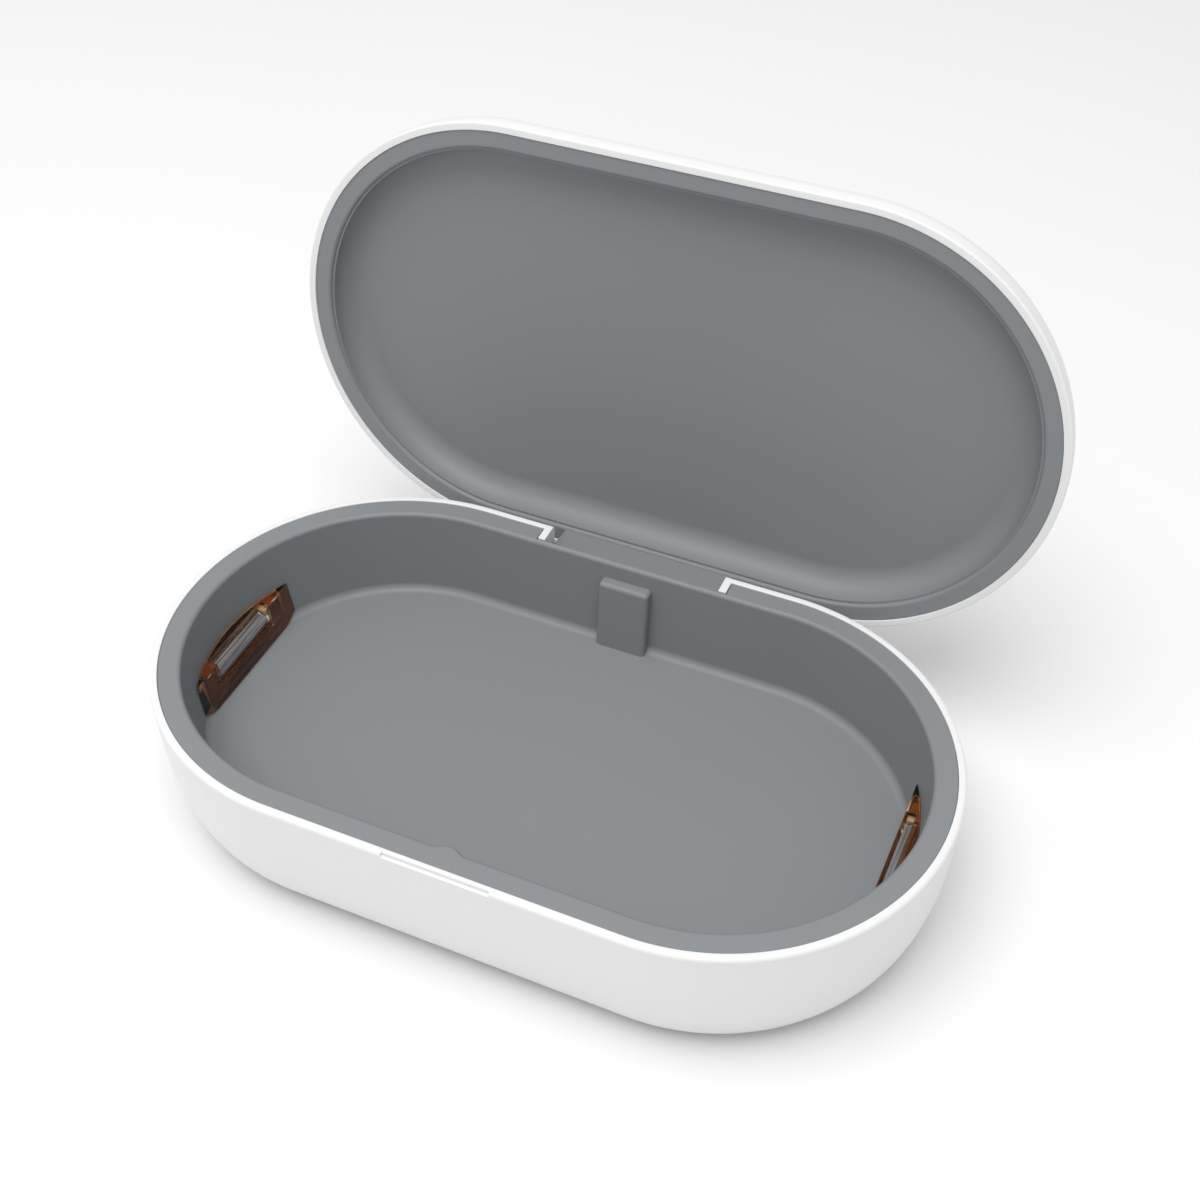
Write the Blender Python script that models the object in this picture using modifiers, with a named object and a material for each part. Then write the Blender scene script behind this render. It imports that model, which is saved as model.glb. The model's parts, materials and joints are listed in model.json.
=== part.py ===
import math

import bmesh
import bpy
from mathutils import Matrix, Vector

# Driving dimensions of the whole box, in metres
half_straight = 0.0475  # half the straight run between the two rounded ends
rim_radius = 0.0630  # outer radius of the rounded ends at the rim
rim_height = 0.0445  # rim of the base above the surface that it stands on
rim_wall = 0.0022  # wall of both white shells at the rim
seam_gap = 0.0004  # gap between the closed lid and the base
fit_gap = 0.0003  # clearance wherever two pieces meet
open_angle = math.radians(96.7)  # lid angle at its open stop
quarter_steps = 10  # facets in each rounded quarter turn
smooth_angle = math.radians(35)
round_profile_share = 0.5  # profile of a circular bevel
weld_distance = 0.0000001

# Base shell
rim_round = 0.0010
side_draft_share = 0.029
straight_depth = 0.0120  # from the rim to where the belly starts
belly_inset = 0.0117
belly_power_share = 2.3
belly_steps = 8
support_height = 0.0018  # inner ledge that carries the liner's flange
support_width = 0.0018
recess_half_width = 0.0145  # finger recess in the front of the rim
recess_depth = 0.0009
recess_height = 0.0012

# Bottom cover with its pad and screws
cover_inset = 0.0024  # shell material outside the cover at the bottom
cover_thickness = 0.0020
cover_ledge_width = 0.0026
cover_ledge_height = 0.0017
cover_screw_in = 0.0025  # in from the end of the straight run
cover_screw_edge = 0.0068  # in from the cover's edge
cover_boss_radius = 0.0042
cover_boss_height = 0.0020
counterbore_depth = 0.0022
screw_head_radius = 0.0027
screw_head_height = 0.0016
screw_shank_radius = 0.0012
screw_shank_length = 0.0080
screw_slot_depth = 0.0007
screw_slot_width = 0.0008
screw_slot_share = 0.7  # span of the slots across the head
post_radius = 0.0030
pad_proud = 0.0010
pad_thickness = 0.0016
pad_inset = 0.0110  # cover edge to pad edge
pad_rib_width = 0.0020

# Grey liner of the base
ring_drop = 0.0003  # ring below the rim
ring_width = 0.0045
ring_round = 0.0012
flange_thickness = 0.0018
liner_wall = 0.0012
liner_floor = 0.0018
wall_run_in = 0.0024  # how far the drafted wall comes in on its way down
floor_round = 0.0025
rear_pad_half_width = 0.0076
rear_pad_proud = 0.0034
rear_pad_drop = 0.0054  # rim to the pad's top
rear_pad_round = 0.0012
front_nub_proud = 0.0015
front_nub_crest = 0.0004  # half width of the nub's crest
front_nub_half_width = 0.0044  # to where its flanks run out into the wall
front_nub_steps = 6

# Hinge
axis_inset = 0.0031  # hinge axis in from the rim's outer face, and the barrel's radius
axis_depth = 0.0091  # hinge axis below the rim
leaf_half_width = 0.0263
leaf_round = 0.0005
pocket_floor_gap = 0.0007  # under the barrel
pocket_wall = 0.0022
hinge_pin_radius = 0.0010
hinge_pin_gap = 0.0001
hinge_pin_bore_radius = 0.0005  # the left pin is hollow for the lid's leads
hinge_pin_reach = 0.0080  # into the leaf
hinge_screw_x = 0.0120
hinge_screw_inset = 0.0039  # in from the rim's outer face
hinge_screw_radius = 0.0008
hinge_screw_head_radius = 0.0014
hinge_screw_head_height = 0.0012
hinge_screw_sink = 0.0055  # rim plane down to the seat of the screw's head
hinge_boss_radius = 0.0014
hinge_boss_height = 0.0022

# Lid
lid_depth = 0.0160
lid_edge_round = 0.0006
lid_corner = 0.0135
lid_ring_width = 0.0036
lid_ring_round = 0.0010
pan_depth = 0.0080
pan_wall_run_in = 0.0006
lid_liner_wall = 0.0016

# Start button with its light ring, switch and board
button_inset = 0.0310  # front of the lid to the button's axis
button_radius = 0.0070
button_proud = 0.0005
button_travel = 0.0005
button_dish = 0.0004
button_edge_round = 0.0003
button_plate = 0.0012
button_skirt = 0.0010
button_stem_radius = 0.0016
button_lip = 0.0010
button_lip_thickness = 0.0005
dish_radius_shares = (0.8, 0.4)  # where the dish starts and where it is deep
light_ring_width = 0.0012
light_ring_flange = 0.0009
light_ring_flange_height = 0.0005
switch_side = 0.0060
switch_height = 0.0008
lid_board_width = 0.0280
lid_board_length = 0.0220
lid_board_thickness = 0.0008
ribbon_width = 0.0060
ribbon_thickness = 0.0003
ribbon_end_inset = 0.0190  # back of the lid to the ribbon's end

# Lamps and their amber windows, one at each end of the cavity
window_inset = 0.0169  # end of the box to the foot of the window's flat front face
window_height = 0.0128  # cavity floor to the window's top
window_lean = 0.0016  # how far the front face goes back on its way up
window_slot_half_length = 0.0132  # slot in the window's front and top, with the lamp in it
window_slot_depth = 0.0044  # foot of the front face to the back of the slot
window_lip_height = 0.0052  # cavity floor to the lip under the slot
window_wall = 0.0012
lamp_radius = 0.0030
lamp_half_length = 0.0145
lamp_gap = 0.0008  # lamp to the inside of its window
holder_length = 0.0062
holder_grip = 0.0025
holder_depth = 0.0074
reflector_gap = 0.0006
reflector_thickness = 0.0003
reflector_half_angle = math.radians(80)
reflector_steps = 8

# Electronics under the cavity floor
board_length = 0.0840
board_width = 0.0460
board_thickness = 0.0016
standoff_height = 0.0028
standoff_radius = 0.0025
standoff_edge = 0.0040
board_screw_head_radius = 0.0020
board_screw_head_height = 0.0012
board_screw_radius = 0.0009
board_screw_length = 0.0030
transformer_size = (0.0180, 0.0160, 0.0060)
transformer_head_room = 0.0012  # transformer to the underside of the cavity floor
bobbin_flange = 0.0012
capacitor_radius = 0.0032
capacitor_height = 0.0058
capacitor_spacing = 0.0110
chip_size = (0.0080, 0.0060, 0.0015)
connector_size = (0.0050, 0.0080, 0.0045)
connector_inset = 0.0080  # board's end to the connector
part_spacing = 0.0020
lead_radius = 0.0006
lead_drop = 0.0006
lead_bend = 0.0040
inlet_width = 0.0089
inlet_height = 0.0032
inlet_depth = 0.0095
inlet_wall = 0.0004
inlet_tongue = 0.0007
inlet_below_floor = 0.0007
sensor_width = 0.0100
sensor_thickness = 0.0010
magnet_width = 0.0100
magnet_thickness = 0.0016
magnet_height = 0.0030
overrun = 0.0020  # how far cutters run past what they cut

# Levels and radii worked out from the sizes above
inner_rim_radius = rim_radius - rim_wall
flange_radius = inner_rim_radius - fit_gap
ring_inner_radius = flange_radius - ring_width
wall_top_radius = ring_inner_radius - ring_round
liner_back_radius = wall_top_radius + liner_wall
support_radius = inner_rim_radius - support_width
shell_depth = rim_height - pad_proud
shell_bottom = pad_proud
cover_top = shell_bottom + cover_thickness
ring_level = rim_height - ring_drop
flange_under = ring_level - flange_thickness
board_under = cover_top + standoff_height + fit_gap
board_face = board_under + board_thickness
floor_under = board_face + fit_gap + transformer_size[2] + transformer_head_room
floor_level = floor_under + liner_floor
wall_top_level = ring_level - ring_round
wall_foot_level = floor_level + floor_round
wall_foot_radius = wall_top_radius - wall_run_in
barrel_radius = axis_inset
axis_y = rim_radius - axis_inset
axis_z = rim_height - axis_depth
hinge_axis = Vector((0, axis_y, axis_z))
pocket_half_width = leaf_half_width + fit_gap + fit_gap / 2
pocket_front = liner_back_radius + fit_gap
pocket_floor = axis_z - barrel_radius - pocket_floor_gap
lid_rim = rim_height + seam_gap
lid_top = lid_rim + lid_depth
lid_ring = lid_rim + ring_drop
pan_level = lid_ring + pan_depth
pan_back = pan_level + lid_liner_wall
lid_ceiling = lid_top - rim_wall
button_y = button_inset - rim_radius
window_chord = half_straight + rim_radius - window_inset
window_top = floor_level + window_height
window_hollow_x = window_chord + window_wall + window_lean / 2
lid_wall_top_radius = flange_radius - lid_ring_width - lid_ring_round
pan_round = pan_depth - lid_ring_round
bay_half_length = lamp_half_length - holder_grip + holder_length + fit_gap
bay_low = floor_level + floor_round + fit_gap
connector_x = board_length / 2 - connector_inset
transformer_x = connector_size[0] + part_spacing + transformer_size[0] / 2 - connector_x
capacitor_x = connector_x - connector_size[0] - part_spacing - capacitor_radius
chip_x = (transformer_x + transformer_size[0] / 2 + capacitor_x - capacitor_radius) / 2

# Collections for the finished pieces and for the helpers that shape them
parts = bpy.data.collections.new("uv_sanitizer_box")
helpers = bpy.data.collections.new("shaping_helpers")


def clear_scene():
    for old in list(bpy.data.objects):
        bpy.data.objects.remove(old, do_unlink=True)
    bpy.context.scene.collection.children.link(parts)
    bpy.context.scene.collection.children.link(helpers)
    helpers.hide_render = True


def material(name, colour, roughness, metallic=0.0, transmission=0.0):
    made = bpy.data.materials.new(name)
    made.use_nodes = True
    shader = made.node_tree.nodes["Principled BSDF"]
    shader.inputs["Base Color"].default_value = (*colour, 1.0)
    shader.inputs["Roughness"].default_value = roughness
    shader.inputs["Metallic"].default_value = metallic
    shader.inputs["Transmission Weight"].default_value = transmission
    return made


def keep(name, bm, look, carrier=None, helper=False):
    """Turns a bmesh into a named object, carried by an empty where it moves."""
    bmesh.ops.remove_doubles(bm, verts=bm.verts, dist=weld_distance)
    bmesh.ops.recalc_face_normals(bm, faces=bm.faces)
    mesh = bpy.data.meshes.new(name)
    bm.to_mesh(mesh)
    bm.free()
    mesh.shade_smooth()
    mesh.set_sharp_from_angle(angle=smooth_angle)
    if look:
        mesh.materials.append(look)
    made = bpy.data.objects.new(name, mesh)
    (helpers if helper else parts).objects.link(made)
    if helper:
        made.hide_render = True
        made.display_type = "WIRE"
    if carrier:
        made.parent = carrier
        made.location = -carrier.location
    return made


def pair(target, tool, operation):
    modifier = target.modifiers.new(f"{operation.lower()}_{tool.name}", "BOOLEAN")
    modifier.operation = operation
    modifier.object = tool
    modifier.solver = "EXACT"


def cut(target, tool):
    pair(target, tool, "DIFFERENCE")


def join(target, tool):
    pair(target, tool, "UNION")


def mirrored(bm, axis):
    bmesh.ops.mirror(
        bm, geom=bm.verts[:] + bm.edges[:] + bm.faces[:], axis=axis,
        merge_dist=weld_distance,
    )


def obround(name, section, look, carrier=None, helper=False):
    """Turns a closed section of (radius, height) round the box's two rounded ends."""
    bm = bmesh.new()
    points = [bm.verts.new((half_straight + radius, 0, height)) for radius, height in section]
    edges = [bm.edges.new((a, b)) for a, b in zip(points, points[1:])]
    if section[0][0] > 0 or section[-1][0] > 0:
        edges.append(bm.edges.new((points[-1], points[0])))
    turned = bmesh.ops.spin(
        bm, geom=points + edges, cent=(half_straight, 0, 0), axis=(0, 0, 1),
        angle=math.pi / 2, steps=quarter_steps, use_merge=False,
    )
    last = [part for part in turned["geom_last"] if isinstance(part, bmesh.types.BMEdge)]
    run = bmesh.ops.extrude_edge_only(bm, edges=last)
    moved = [part for part in run["geom"] if isinstance(part, bmesh.types.BMVert)]
    bmesh.ops.translate(bm, vec=(-half_straight, 0, 0), verts=moved)
    bmesh.ops.remove_doubles(bm, verts=bm.verts, dist=weld_distance)
    mirrored(bm, "X")
    mirrored(bm, "Y")
    return keep(name, bm, look, carrier, helper)


def block(name, low, high, look, carrier=None, helper=False, rounding=0.0):
    """A box between two corners, with its edges rounded where asked."""
    low, high = Vector(low), Vector(high)
    bm = bmesh.new()
    bmesh.ops.create_cube(bm, size=1)
    bmesh.ops.scale(bm, vec=high - low, verts=bm.verts)
    bmesh.ops.translate(bm, vec=(low + high) / 2, verts=bm.verts)
    if rounding:
        bmesh.ops.bevel(
            bm, geom=bm.edges, offset=rounding, segments=2, profile=round_profile_share,
            affect="EDGES", material=-1,
        )
    return keep(name, bm, look, carrier, helper)


def rod(name, radius, start, end, look, carrier=None, helper=False, sides=20):
    """A round bar from one point to another."""
    start, end = Vector(start), Vector(end)
    bm = bmesh.new()
    bmesh.ops.create_cone(
        bm, cap_ends=True, segments=sides, radius1=radius, radius2=radius,
        depth=(end - start).length,
    )
    turn = (end - start).to_track_quat("Z", "Y").to_matrix().to_4x4()
    bmesh.ops.transform(bm, matrix=Matrix.Translation((start + end) / 2) @ turn, verts=bm.verts)
    return keep(name, bm, look, carrier, helper)


def turned(name, section, centre, look, carrier=None, helper=False, sides=24):
    """A section of (radius, height) turned round an upright axis."""
    ends_on_axis = section[0][0] == 0 and section[-1][0] == 0
    joined = list(zip(section, section[1:] + section[:1]))
    area = sum(a[0] * b[1] - b[0] * a[1] for a, b in joined)
    if area > 0:
        section = section[::-1]
    bm = bmesh.new()
    points = [bm.verts.new((radius, 0, height)) for radius, height in section]
    for a, b in zip(points, points[1:]):
        bm.edges.new((a, b))
    if not ends_on_axis:
        bm.edges.new((points[-1], points[0]))
    made = keep(name, bm, look, carrier, helper)
    made.location = made.location + Vector(centre)
    turn = made.modifiers.new("turn", "SCREW")
    turn.axis = "Z"
    turn.angle = 2 * math.pi
    turn.steps = sides
    turn.render_steps = sides
    turn.use_merge_vertices = True
    turn.merge_threshold = fit_gap / 30
    turn.use_smooth_shade = True
    return made


def extruded(name, outline, half_width, to_right, to_up, look, carrier=None, helper=False):
    """A flat outline drawn out to both sides of its plane, which two directions give."""
    curve = bpy.data.curves.new(name, "CURVE")
    curve.dimensions = "2D"
    curve.fill_mode = "BOTH"
    curve.extrude = half_width
    spline = curve.splines.new("POLY")
    spline.points.add(len(outline) - 1)
    for point, place in zip(spline.points, outline):
        point.co = Vector((*place, 0)).to_4d()
    spline.use_cyclic_u = True
    drawn = bpy.data.objects.new(name + "_outline", curve)
    helpers.objects.link(drawn)
    bpy.context.view_layer.update()
    evaluated = drawn.evaluated_get(bpy.context.evaluated_depsgraph_get())
    mesh = bpy.data.meshes.new_from_object(evaluated)
    bm = bmesh.new()
    bm.from_mesh(mesh)
    to_right, to_up = Vector(to_right), Vector(to_up)
    plane = Matrix((to_right, to_up, to_right.cross(to_up))).transposed().to_4x4()
    bmesh.ops.transform(bm, matrix=plane, verts=bm.verts)
    bpy.data.objects.remove(drawn)
    bpy.data.meshes.remove(mesh)
    return keep(name, bm, look, carrier, helper)


def wire(name, route, radius, look):
    """A round lead along a smooth route."""
    curve = bpy.data.curves.new(name, "CURVE")
    curve.dimensions = "3D"
    curve.bevel_depth = radius
    curve.bevel_resolution = 1
    curve.use_fill_caps = True
    spline = curve.splines.new("POLY")
    spline.points.add(len(route) - 1)
    for point, place in zip(spline.points, route):
        point.co = Vector(place).to_4d()
    curve.materials.append(look)
    made = bpy.data.objects.new(name, curve)
    parts.objects.link(made)
    return made


def arc(centre, radius, start, end, steps):
    """Points of (radius, height) along an arc, angles in degrees from outward."""
    angles = [math.radians(start + (end - start) * k / steps) for k in range(steps + 1)]
    return [
        (centre[0] + radius * math.cos(angle), centre[1] + radius * math.sin(angle))
        for angle in angles
    ]


def side_radius(depth):
    """Outer radius of the base at a depth below its rim."""
    radius = rim_radius - side_draft_share * depth
    if depth > straight_depth:
        share = min(1, (depth - straight_depth) / (shell_depth - straight_depth))
        bulge = (1 - share**belly_power_share) ** (1 / belly_power_share)
        radius -= belly_inset * (1 - bulge)
    return radius


def wall_radius(level):
    """Inner radius of the liner's drafted wall at a level."""
    share = (wall_top_level - level) / (wall_top_level - wall_foot_level)
    return wall_top_radius - wall_run_in * share


def belly_depths(deepest):
    run = shell_depth - straight_depth
    depths = [
        straight_depth + run * math.sin(math.pi / 2 * k / belly_steps)
        for k in range(belly_steps + 1)
    ]
    return [depth for depth in depths if depth < deepest]


def make_base_shell(look):
    cover_edge = side_radius(shell_depth) - cover_inset
    ledge_under = cover_top + fit_gap
    ledge_top = ledge_under + cover_ledge_height
    ledge_depth = rim_height - ledge_top
    round_centre = (rim_radius - rim_round, rim_height - rim_round)
    section = [(inner_rim_radius, rim_height)]
    section += arc(round_centre, rim_round, 90, 0, 3)
    outer = belly_depths(shell_depth) + [shell_depth]
    section += [(side_radius(depth), rim_height - depth) for depth in outer]
    section += [(cover_edge, shell_bottom), (cover_edge, ledge_under)]
    section += [
        (cover_edge - cover_ledge_width, ledge_under),
        (cover_edge - cover_ledge_width, ledge_top),
    ]
    inner = belly_depths(ledge_depth)[::2] + [ledge_depth]
    section += [(side_radius(depth) - rim_wall, rim_height - depth) for depth in reversed(inner)]
    support_top = flange_under - fit_gap
    support_under = support_top - support_height
    section += [
        (side_radius(rim_height - support_under) - rim_wall, support_under - support_width),
        (support_radius, support_under),
        (support_radius, support_top),
        (inner_rim_radius, support_top),
    ]
    shell = obround("base_shell", section, look)

    pocket_outside = rim_radius - rim_wall / 2
    outer_x = pocket_half_width + pocket_wall
    surround = block(
        "hinge_pocket_surround",
        (-outer_x, pocket_front, pocket_floor - pocket_wall),
        (outer_x, pocket_outside, rim_height),
        None, helper=True,
    )
    join(shell, surround)
    pocket = block(
        "hinge_pocket",
        (-pocket_half_width, pocket_front - overrun, pocket_floor),
        (pocket_half_width, rim_radius + overrun, rim_height + overrun),
        None, helper=True,
    )
    cut(shell, pocket)
    for side, sign in (("left", -1), ("right", 1)):
        hole = rod(
            f"hinge_pin_hole_{side}", hinge_pin_radius + hinge_pin_gap,
            (sign * (pocket_half_width - overrun), axis_y, axis_z),
            (sign * (outer_x + overrun), axis_y, axis_z),
            None, helper=True, sides=16,
        )
        cut(shell, hole)
    recess = block(
        "finger_recess",
        (-recess_half_width, -rim_radius - overrun, rim_height - recess_height),
        (recess_half_width, -rim_radius + recess_depth, rim_height + overrun),
        None, helper=True,
    )
    cut(shell, recess)
    low, high = inlet_corners(fit_gap)
    inlet_hole = block(
        "inlet_hole", low, (high[0], rim_radius + overrun, high[2]), None,
        helper=True, rounding=inlet_height / 3,
    )
    cut(shell, inlet_hole)
    return shell


def cover_radius():
    return side_radius(shell_depth) - cover_inset - fit_gap


def cover_screw_places():
    x = half_straight - cover_screw_in
    y = cover_radius() - cover_screw_edge
    return [(sx * x, sy * y) for sx in (-1, 1) for sy in (-1, 1)]


def board_corner_places():
    x = board_length / 2 - standoff_edge
    y = board_width / 2 - standoff_edge
    return [(sx * x, sy * y) for sx in (-1, 1) for sy in (-1, 1)]


def make_bottom_cover(look):
    radius = cover_radius()
    pocket_radius = radius - pad_inset + fit_gap
    pocket_top = pad_thickness + fit_gap
    section = [
        (0, cover_top), (radius, cover_top), (radius, shell_bottom),
        (pocket_radius, shell_bottom), (pocket_radius, pocket_top), (0, pocket_top),
    ]
    cover = obround("bottom_cover", section, look)
    for number, (x, y) in enumerate(cover_screw_places(), 1):
        boss_top = cover_top + cover_boss_height
        join(cover, rod(
            f"cover_boss_{number}", cover_boss_radius,
            (x, y, cover_top - fit_gap), (x, y, boss_top), None, helper=True,
        ))
        cut(cover, turned(
            f"cover_counterbore_{number}",
            [
                (0, shell_bottom - overrun),
                (screw_head_radius + fit_gap, shell_bottom - overrun),
                (screw_head_radius + fit_gap, shell_bottom + counterbore_depth),
                (screw_shank_radius + fit_gap, shell_bottom + counterbore_depth),
                (screw_shank_radius + fit_gap, boss_top + overrun),
                (0, boss_top + overrun),
            ],
            (x, y, 0), None, helper=True, sides=20,
        ))
    standoff_top = cover_top + standoff_height
    for number, (x, y) in enumerate(board_corner_places(), 1):
        join(cover, rod(
            f"standoff_{number}", standoff_radius,
            (x, y, cover_top - fit_gap), (x, y, standoff_top), None, helper=True, sides=16,
        ))
        cut(cover, rod(
            f"standoff_hole_{number}", board_screw_radius + fit_gap,
            (x, y, cover_top), (x, y, standoff_top + overrun), None, helper=True, sides=12,
        ))
    return cover


def make_foot_pad(look):
    radius = cover_radius() - pad_inset
    rib_inner = radius - pad_rib_width
    groove = pad_proud / 2
    inner_face = rib_inner - pad_rib_width
    section = [
        (0, pad_thickness), (radius, pad_thickness), (radius, 0), (rib_inner, 0),
        (rib_inner, groove), (inner_face, groove), (inner_face, 0), (0, 0),
    ]
    return obround("foot_pad", section, look)


def screw(name, place, seat, down, head_radius, head_height, shank_radius, length, look,
          carrier=None):
    """A cross-slotted screw whose head sits on a seat, pointing up or down from it."""
    x, y = place
    sign = -1 if down else 1
    section = [
        (0, seat - sign * head_height), (head_radius, seat - sign * head_height),
        (head_radius, seat), (shank_radius, seat),
        (shank_radius, seat + sign * (length - shank_radius)),
        (shank_radius / 2, seat + sign * length), (0, seat + sign * length),
    ]
    made = turned(name, section, (x, y, 0), look, carrier, sides=14)
    slot_half = head_radius * screw_slot_share
    face = seat - sign * head_height
    depth = min(screw_slot_depth, head_height / 2)
    for way, (half_x, half_y) in enumerate(
        ((slot_half, screw_slot_width / 2), (screw_slot_width / 2, slot_half))
    ):
        ends = sorted((face + sign * depth, face - sign * overrun))
        cut(made, block(
            f"{name}_slot_{way}", (x - half_x, y - half_y, ends[0]),
            (x + half_x, y + half_y, ends[1]), None, carrier, helper=True,
        ))
    return made


def liner_section():
    top = arc((ring_inner_radius, wall_top_level), ring_round, 90, 180, 4)
    foot_centre = (wall_foot_radius - floor_round, wall_foot_level)
    foot = arc(foot_centre, floor_round, 0, -90, 4)
    back_foot = arc(foot_centre, floor_round + liner_wall, -90, 0, 4)
    back_foot = [(radius, max(height, floor_under)) for radius, height in back_foot[1:]]
    section = [(flange_radius, ring_level)] + top + foot
    section += [(0, floor_level), (0, floor_under)]
    section += [(foot_centre[0], floor_under)] + back_foot
    section += [(liner_back_radius - liner_wall / 20, flange_under), (flange_radius, flange_under)]
    return section


def make_base_liner(look):
    liner = obround("base_liner", rolled(liner_section()), look)

    notch_x = pocket_half_width + pocket_wall + fit_gap
    cut(liner, block(
        "flange_notch", (-notch_x, liner_back_radius, flange_under - overrun),
        (notch_x, rim_radius, rim_height + overrun), None, helper=True,
    ))
    pad_top = rim_height - rear_pad_drop
    pad_foot = floor_level - liner_floor / 2
    top_back = wall_radius(pad_top) + liner_wall / 2
    lean = wall_radius(pad_top) - wall_radius(pad_foot)
    join(liner, leaning_block(
        "rear_pad", rear_pad_half_width, top_back - liner_wall / 2 - rear_pad_proud, top_back,
        pad_foot, pad_top, lean, rear_pad_round,
    ))
    join(liner, front_nub(pad_foot))
    hollow = rear_pad_half_width - liner_wall
    front = sensor_place() - fit_gap
    back = sensor_place() + sensor_thickness + fit_gap
    bottom = floor_level + liner_floor
    door_top = pocket_floor - pocket_wall - fit_gap
    outline = [
        (front, bottom), (inner_rim_radius, bottom), (inner_rim_radius, door_top),
        (back, door_top), (back, sensor_hollow_top()), (front, sensor_hollow_top()),
    ]
    cut(liner, extruded(
        "sensor_hollow", outline, hollow, (0, 1, 0), (0, 0, 1), None, helper=True,
    ))
    for number, (x, y) in enumerate(cover_screw_places(), 1):
        post_foot = cover_top + cover_boss_height + fit_gap
        join(liner, rod(
            f"screw_post_{number}", post_radius,
            (x, y, post_foot), (x, y, floor_under + liner_floor / 2), None, helper=True,
        ))
        cut(liner, rod(
            f"screw_post_hole_{number}", screw_shank_radius + fit_gap,
            (x, y, post_foot - overrun), (x, y, floor_under), None, helper=True, sides=16,
        ))
    for side, sign in (("left", -1), ("right", 1)):
        low, high = bay_corners(sign)
        cut(liner, block(f"lamp_bay_{side}", low, high, None, helper=True))
    return liner


def rolled(section):
    """The same closed section, starting where it meets the axis."""
    start = section.index(next(point for point in section if point[0] == 0)) + 1
    return section[start:] + section[:start]


def sensor_place():
    return wall_radius((floor_level + rim_height) / 2) - liner_wall - sensor_thickness


def sensor_hollow_top():
    return rim_height - rear_pad_drop - liner_wall - rear_pad_round / 2


def leaning_block(name, half_width, front, back, bottom, top, lean, rounding):
    """A rounded block whose foot leans in as the cavity's wall does."""
    bm = bmesh.new()
    bmesh.ops.create_cube(bm, size=1)
    bmesh.ops.scale(bm, vec=(2 * half_width, back - front, top - bottom), verts=bm.verts)
    bmesh.ops.translate(bm, vec=(0, (front + back) / 2, (top + bottom) / 2), verts=bm.verts)
    middle = (top + bottom) / 2
    feet = [vert for vert in bm.verts if vert.co.z < middle]
    bmesh.ops.translate(bm, vec=(0, -lean, 0), verts=feet)
    proud = [
        edge for edge in bm.edges
        if all(vert.co.y < back - (back - front) / 2 - (0 if vert.co.z > middle else lean)
               for vert in edge.verts)
        or (all(vert.co.z > middle for vert in edge.verts)
            and edge.verts[0].co.x * edge.verts[1].co.x > 0)
    ]
    bmesh.ops.bevel(
        bm, geom=proud, offset=rounding, segments=3, profile=round_profile_share,
        affect="EDGES", material=-1,
    )
    return keep(name, bm, None, helper=True)


def front_nub(foot):
    """The small nub of the front wall: its flanks run out into the ring's edge in S-curves."""
    face = wall_top_radius - front_nub_proud
    run = front_nub_half_width - front_nub_crest
    flank = []
    for step in range(front_nub_steps + 1):
        share = step / front_nub_steps
        swing = (1 - math.cos(math.pi * share)) / 2
        flank.append((front_nub_crest + run * share, -face - front_nub_proud * swing))
    back = -wall_top_radius - liner_wall / 2
    half = [(x, y) for x, y in flank[:-1]] + [(front_nub_half_width, back)]
    outline = half + [(-x, y) for x, y in reversed(half)]
    middle = (foot + wall_top_level) / 2
    nub = extruded(
        "front_nub", outline, (wall_top_level - foot) / 2, (1, 0, 0), (0, 1, 0), None, helper=True,
    )
    lean = wall_top_radius - wall_radius(foot)
    for vert in nub.data.vertices:
        if vert.co.z < 0:
            vert.co.y += lean
    nub.location.z = middle
    return nub


def bay_corners(sign):
    """The opening in the liner's end wall that the lamp sits in."""
    inner = window_chord + window_wall
    outer = half_straight + inner_rim_radius - rim_wall
    high_z = window_top - window_wall - fit_gap
    x = sorted((sign * inner, sign * outer))
    return (
        (x[0], -bay_half_length, bay_low),
        (x[1], bay_half_length, high_z),
    )


def lamp_centre(sign):
    low, high = bay_corners(sign)
    x = sign * (window_chord + window_wall + lamp_gap + lamp_radius)
    return x, (low[2] + high[2]) / 2


def make_window(side, sign, look):
    top = window_top
    foot = wall_foot_level
    bottom = floor_level + fit_gap
    inner = window_chord - half_straight - overrun
    toe = wall_foot_radius - floor_round
    section = [
        (inner, top), (wall_radius(top) - fit_gap, top), (wall_radius(foot) - fit_gap, foot),
        (toe - fit_gap, bottom), (inner, bottom),
    ]
    window = obround(f"lamp_window_{side}", section, look)
    reach = half_straight + rim_radius
    slope = window_lean / window_height
    front_foot = sign * (window_chord - slope * overrun)
    front_head = sign * (window_chord + window_lean + slope * overrun)
    trim = [
        (front_foot, floor_level - overrun), (front_head, top + overrun),
        (-sign * reach, top + overrun), (-sign * reach, floor_level - overrun),
    ]
    cut(window, extruded(
        f"window_trim_{side}", trim, rim_radius, (1, 0, 0), (0, 0, 1), None, helper=True,
    ))
    x = sorted((sign * window_hollow_x, sign * reach))
    half = bay_half_length + window_wall
    low_z = floor_level + floor_round - window_wall
    cut(window, block(
        f"window_hollow_{side}", (x[0], -half, low_z), (x[1], half, top - window_wall),
        None, helper=True,
    ))
    x = sorted((sign * (window_chord - overrun), sign * (window_chord + window_slot_depth)))
    cut(window, block(
        f"window_slot_{side}", (x[0], -window_slot_half_length, floor_level + window_lip_height),
        (x[1], window_slot_half_length, top + overrun), None, helper=True,
    ))
    return window


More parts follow.
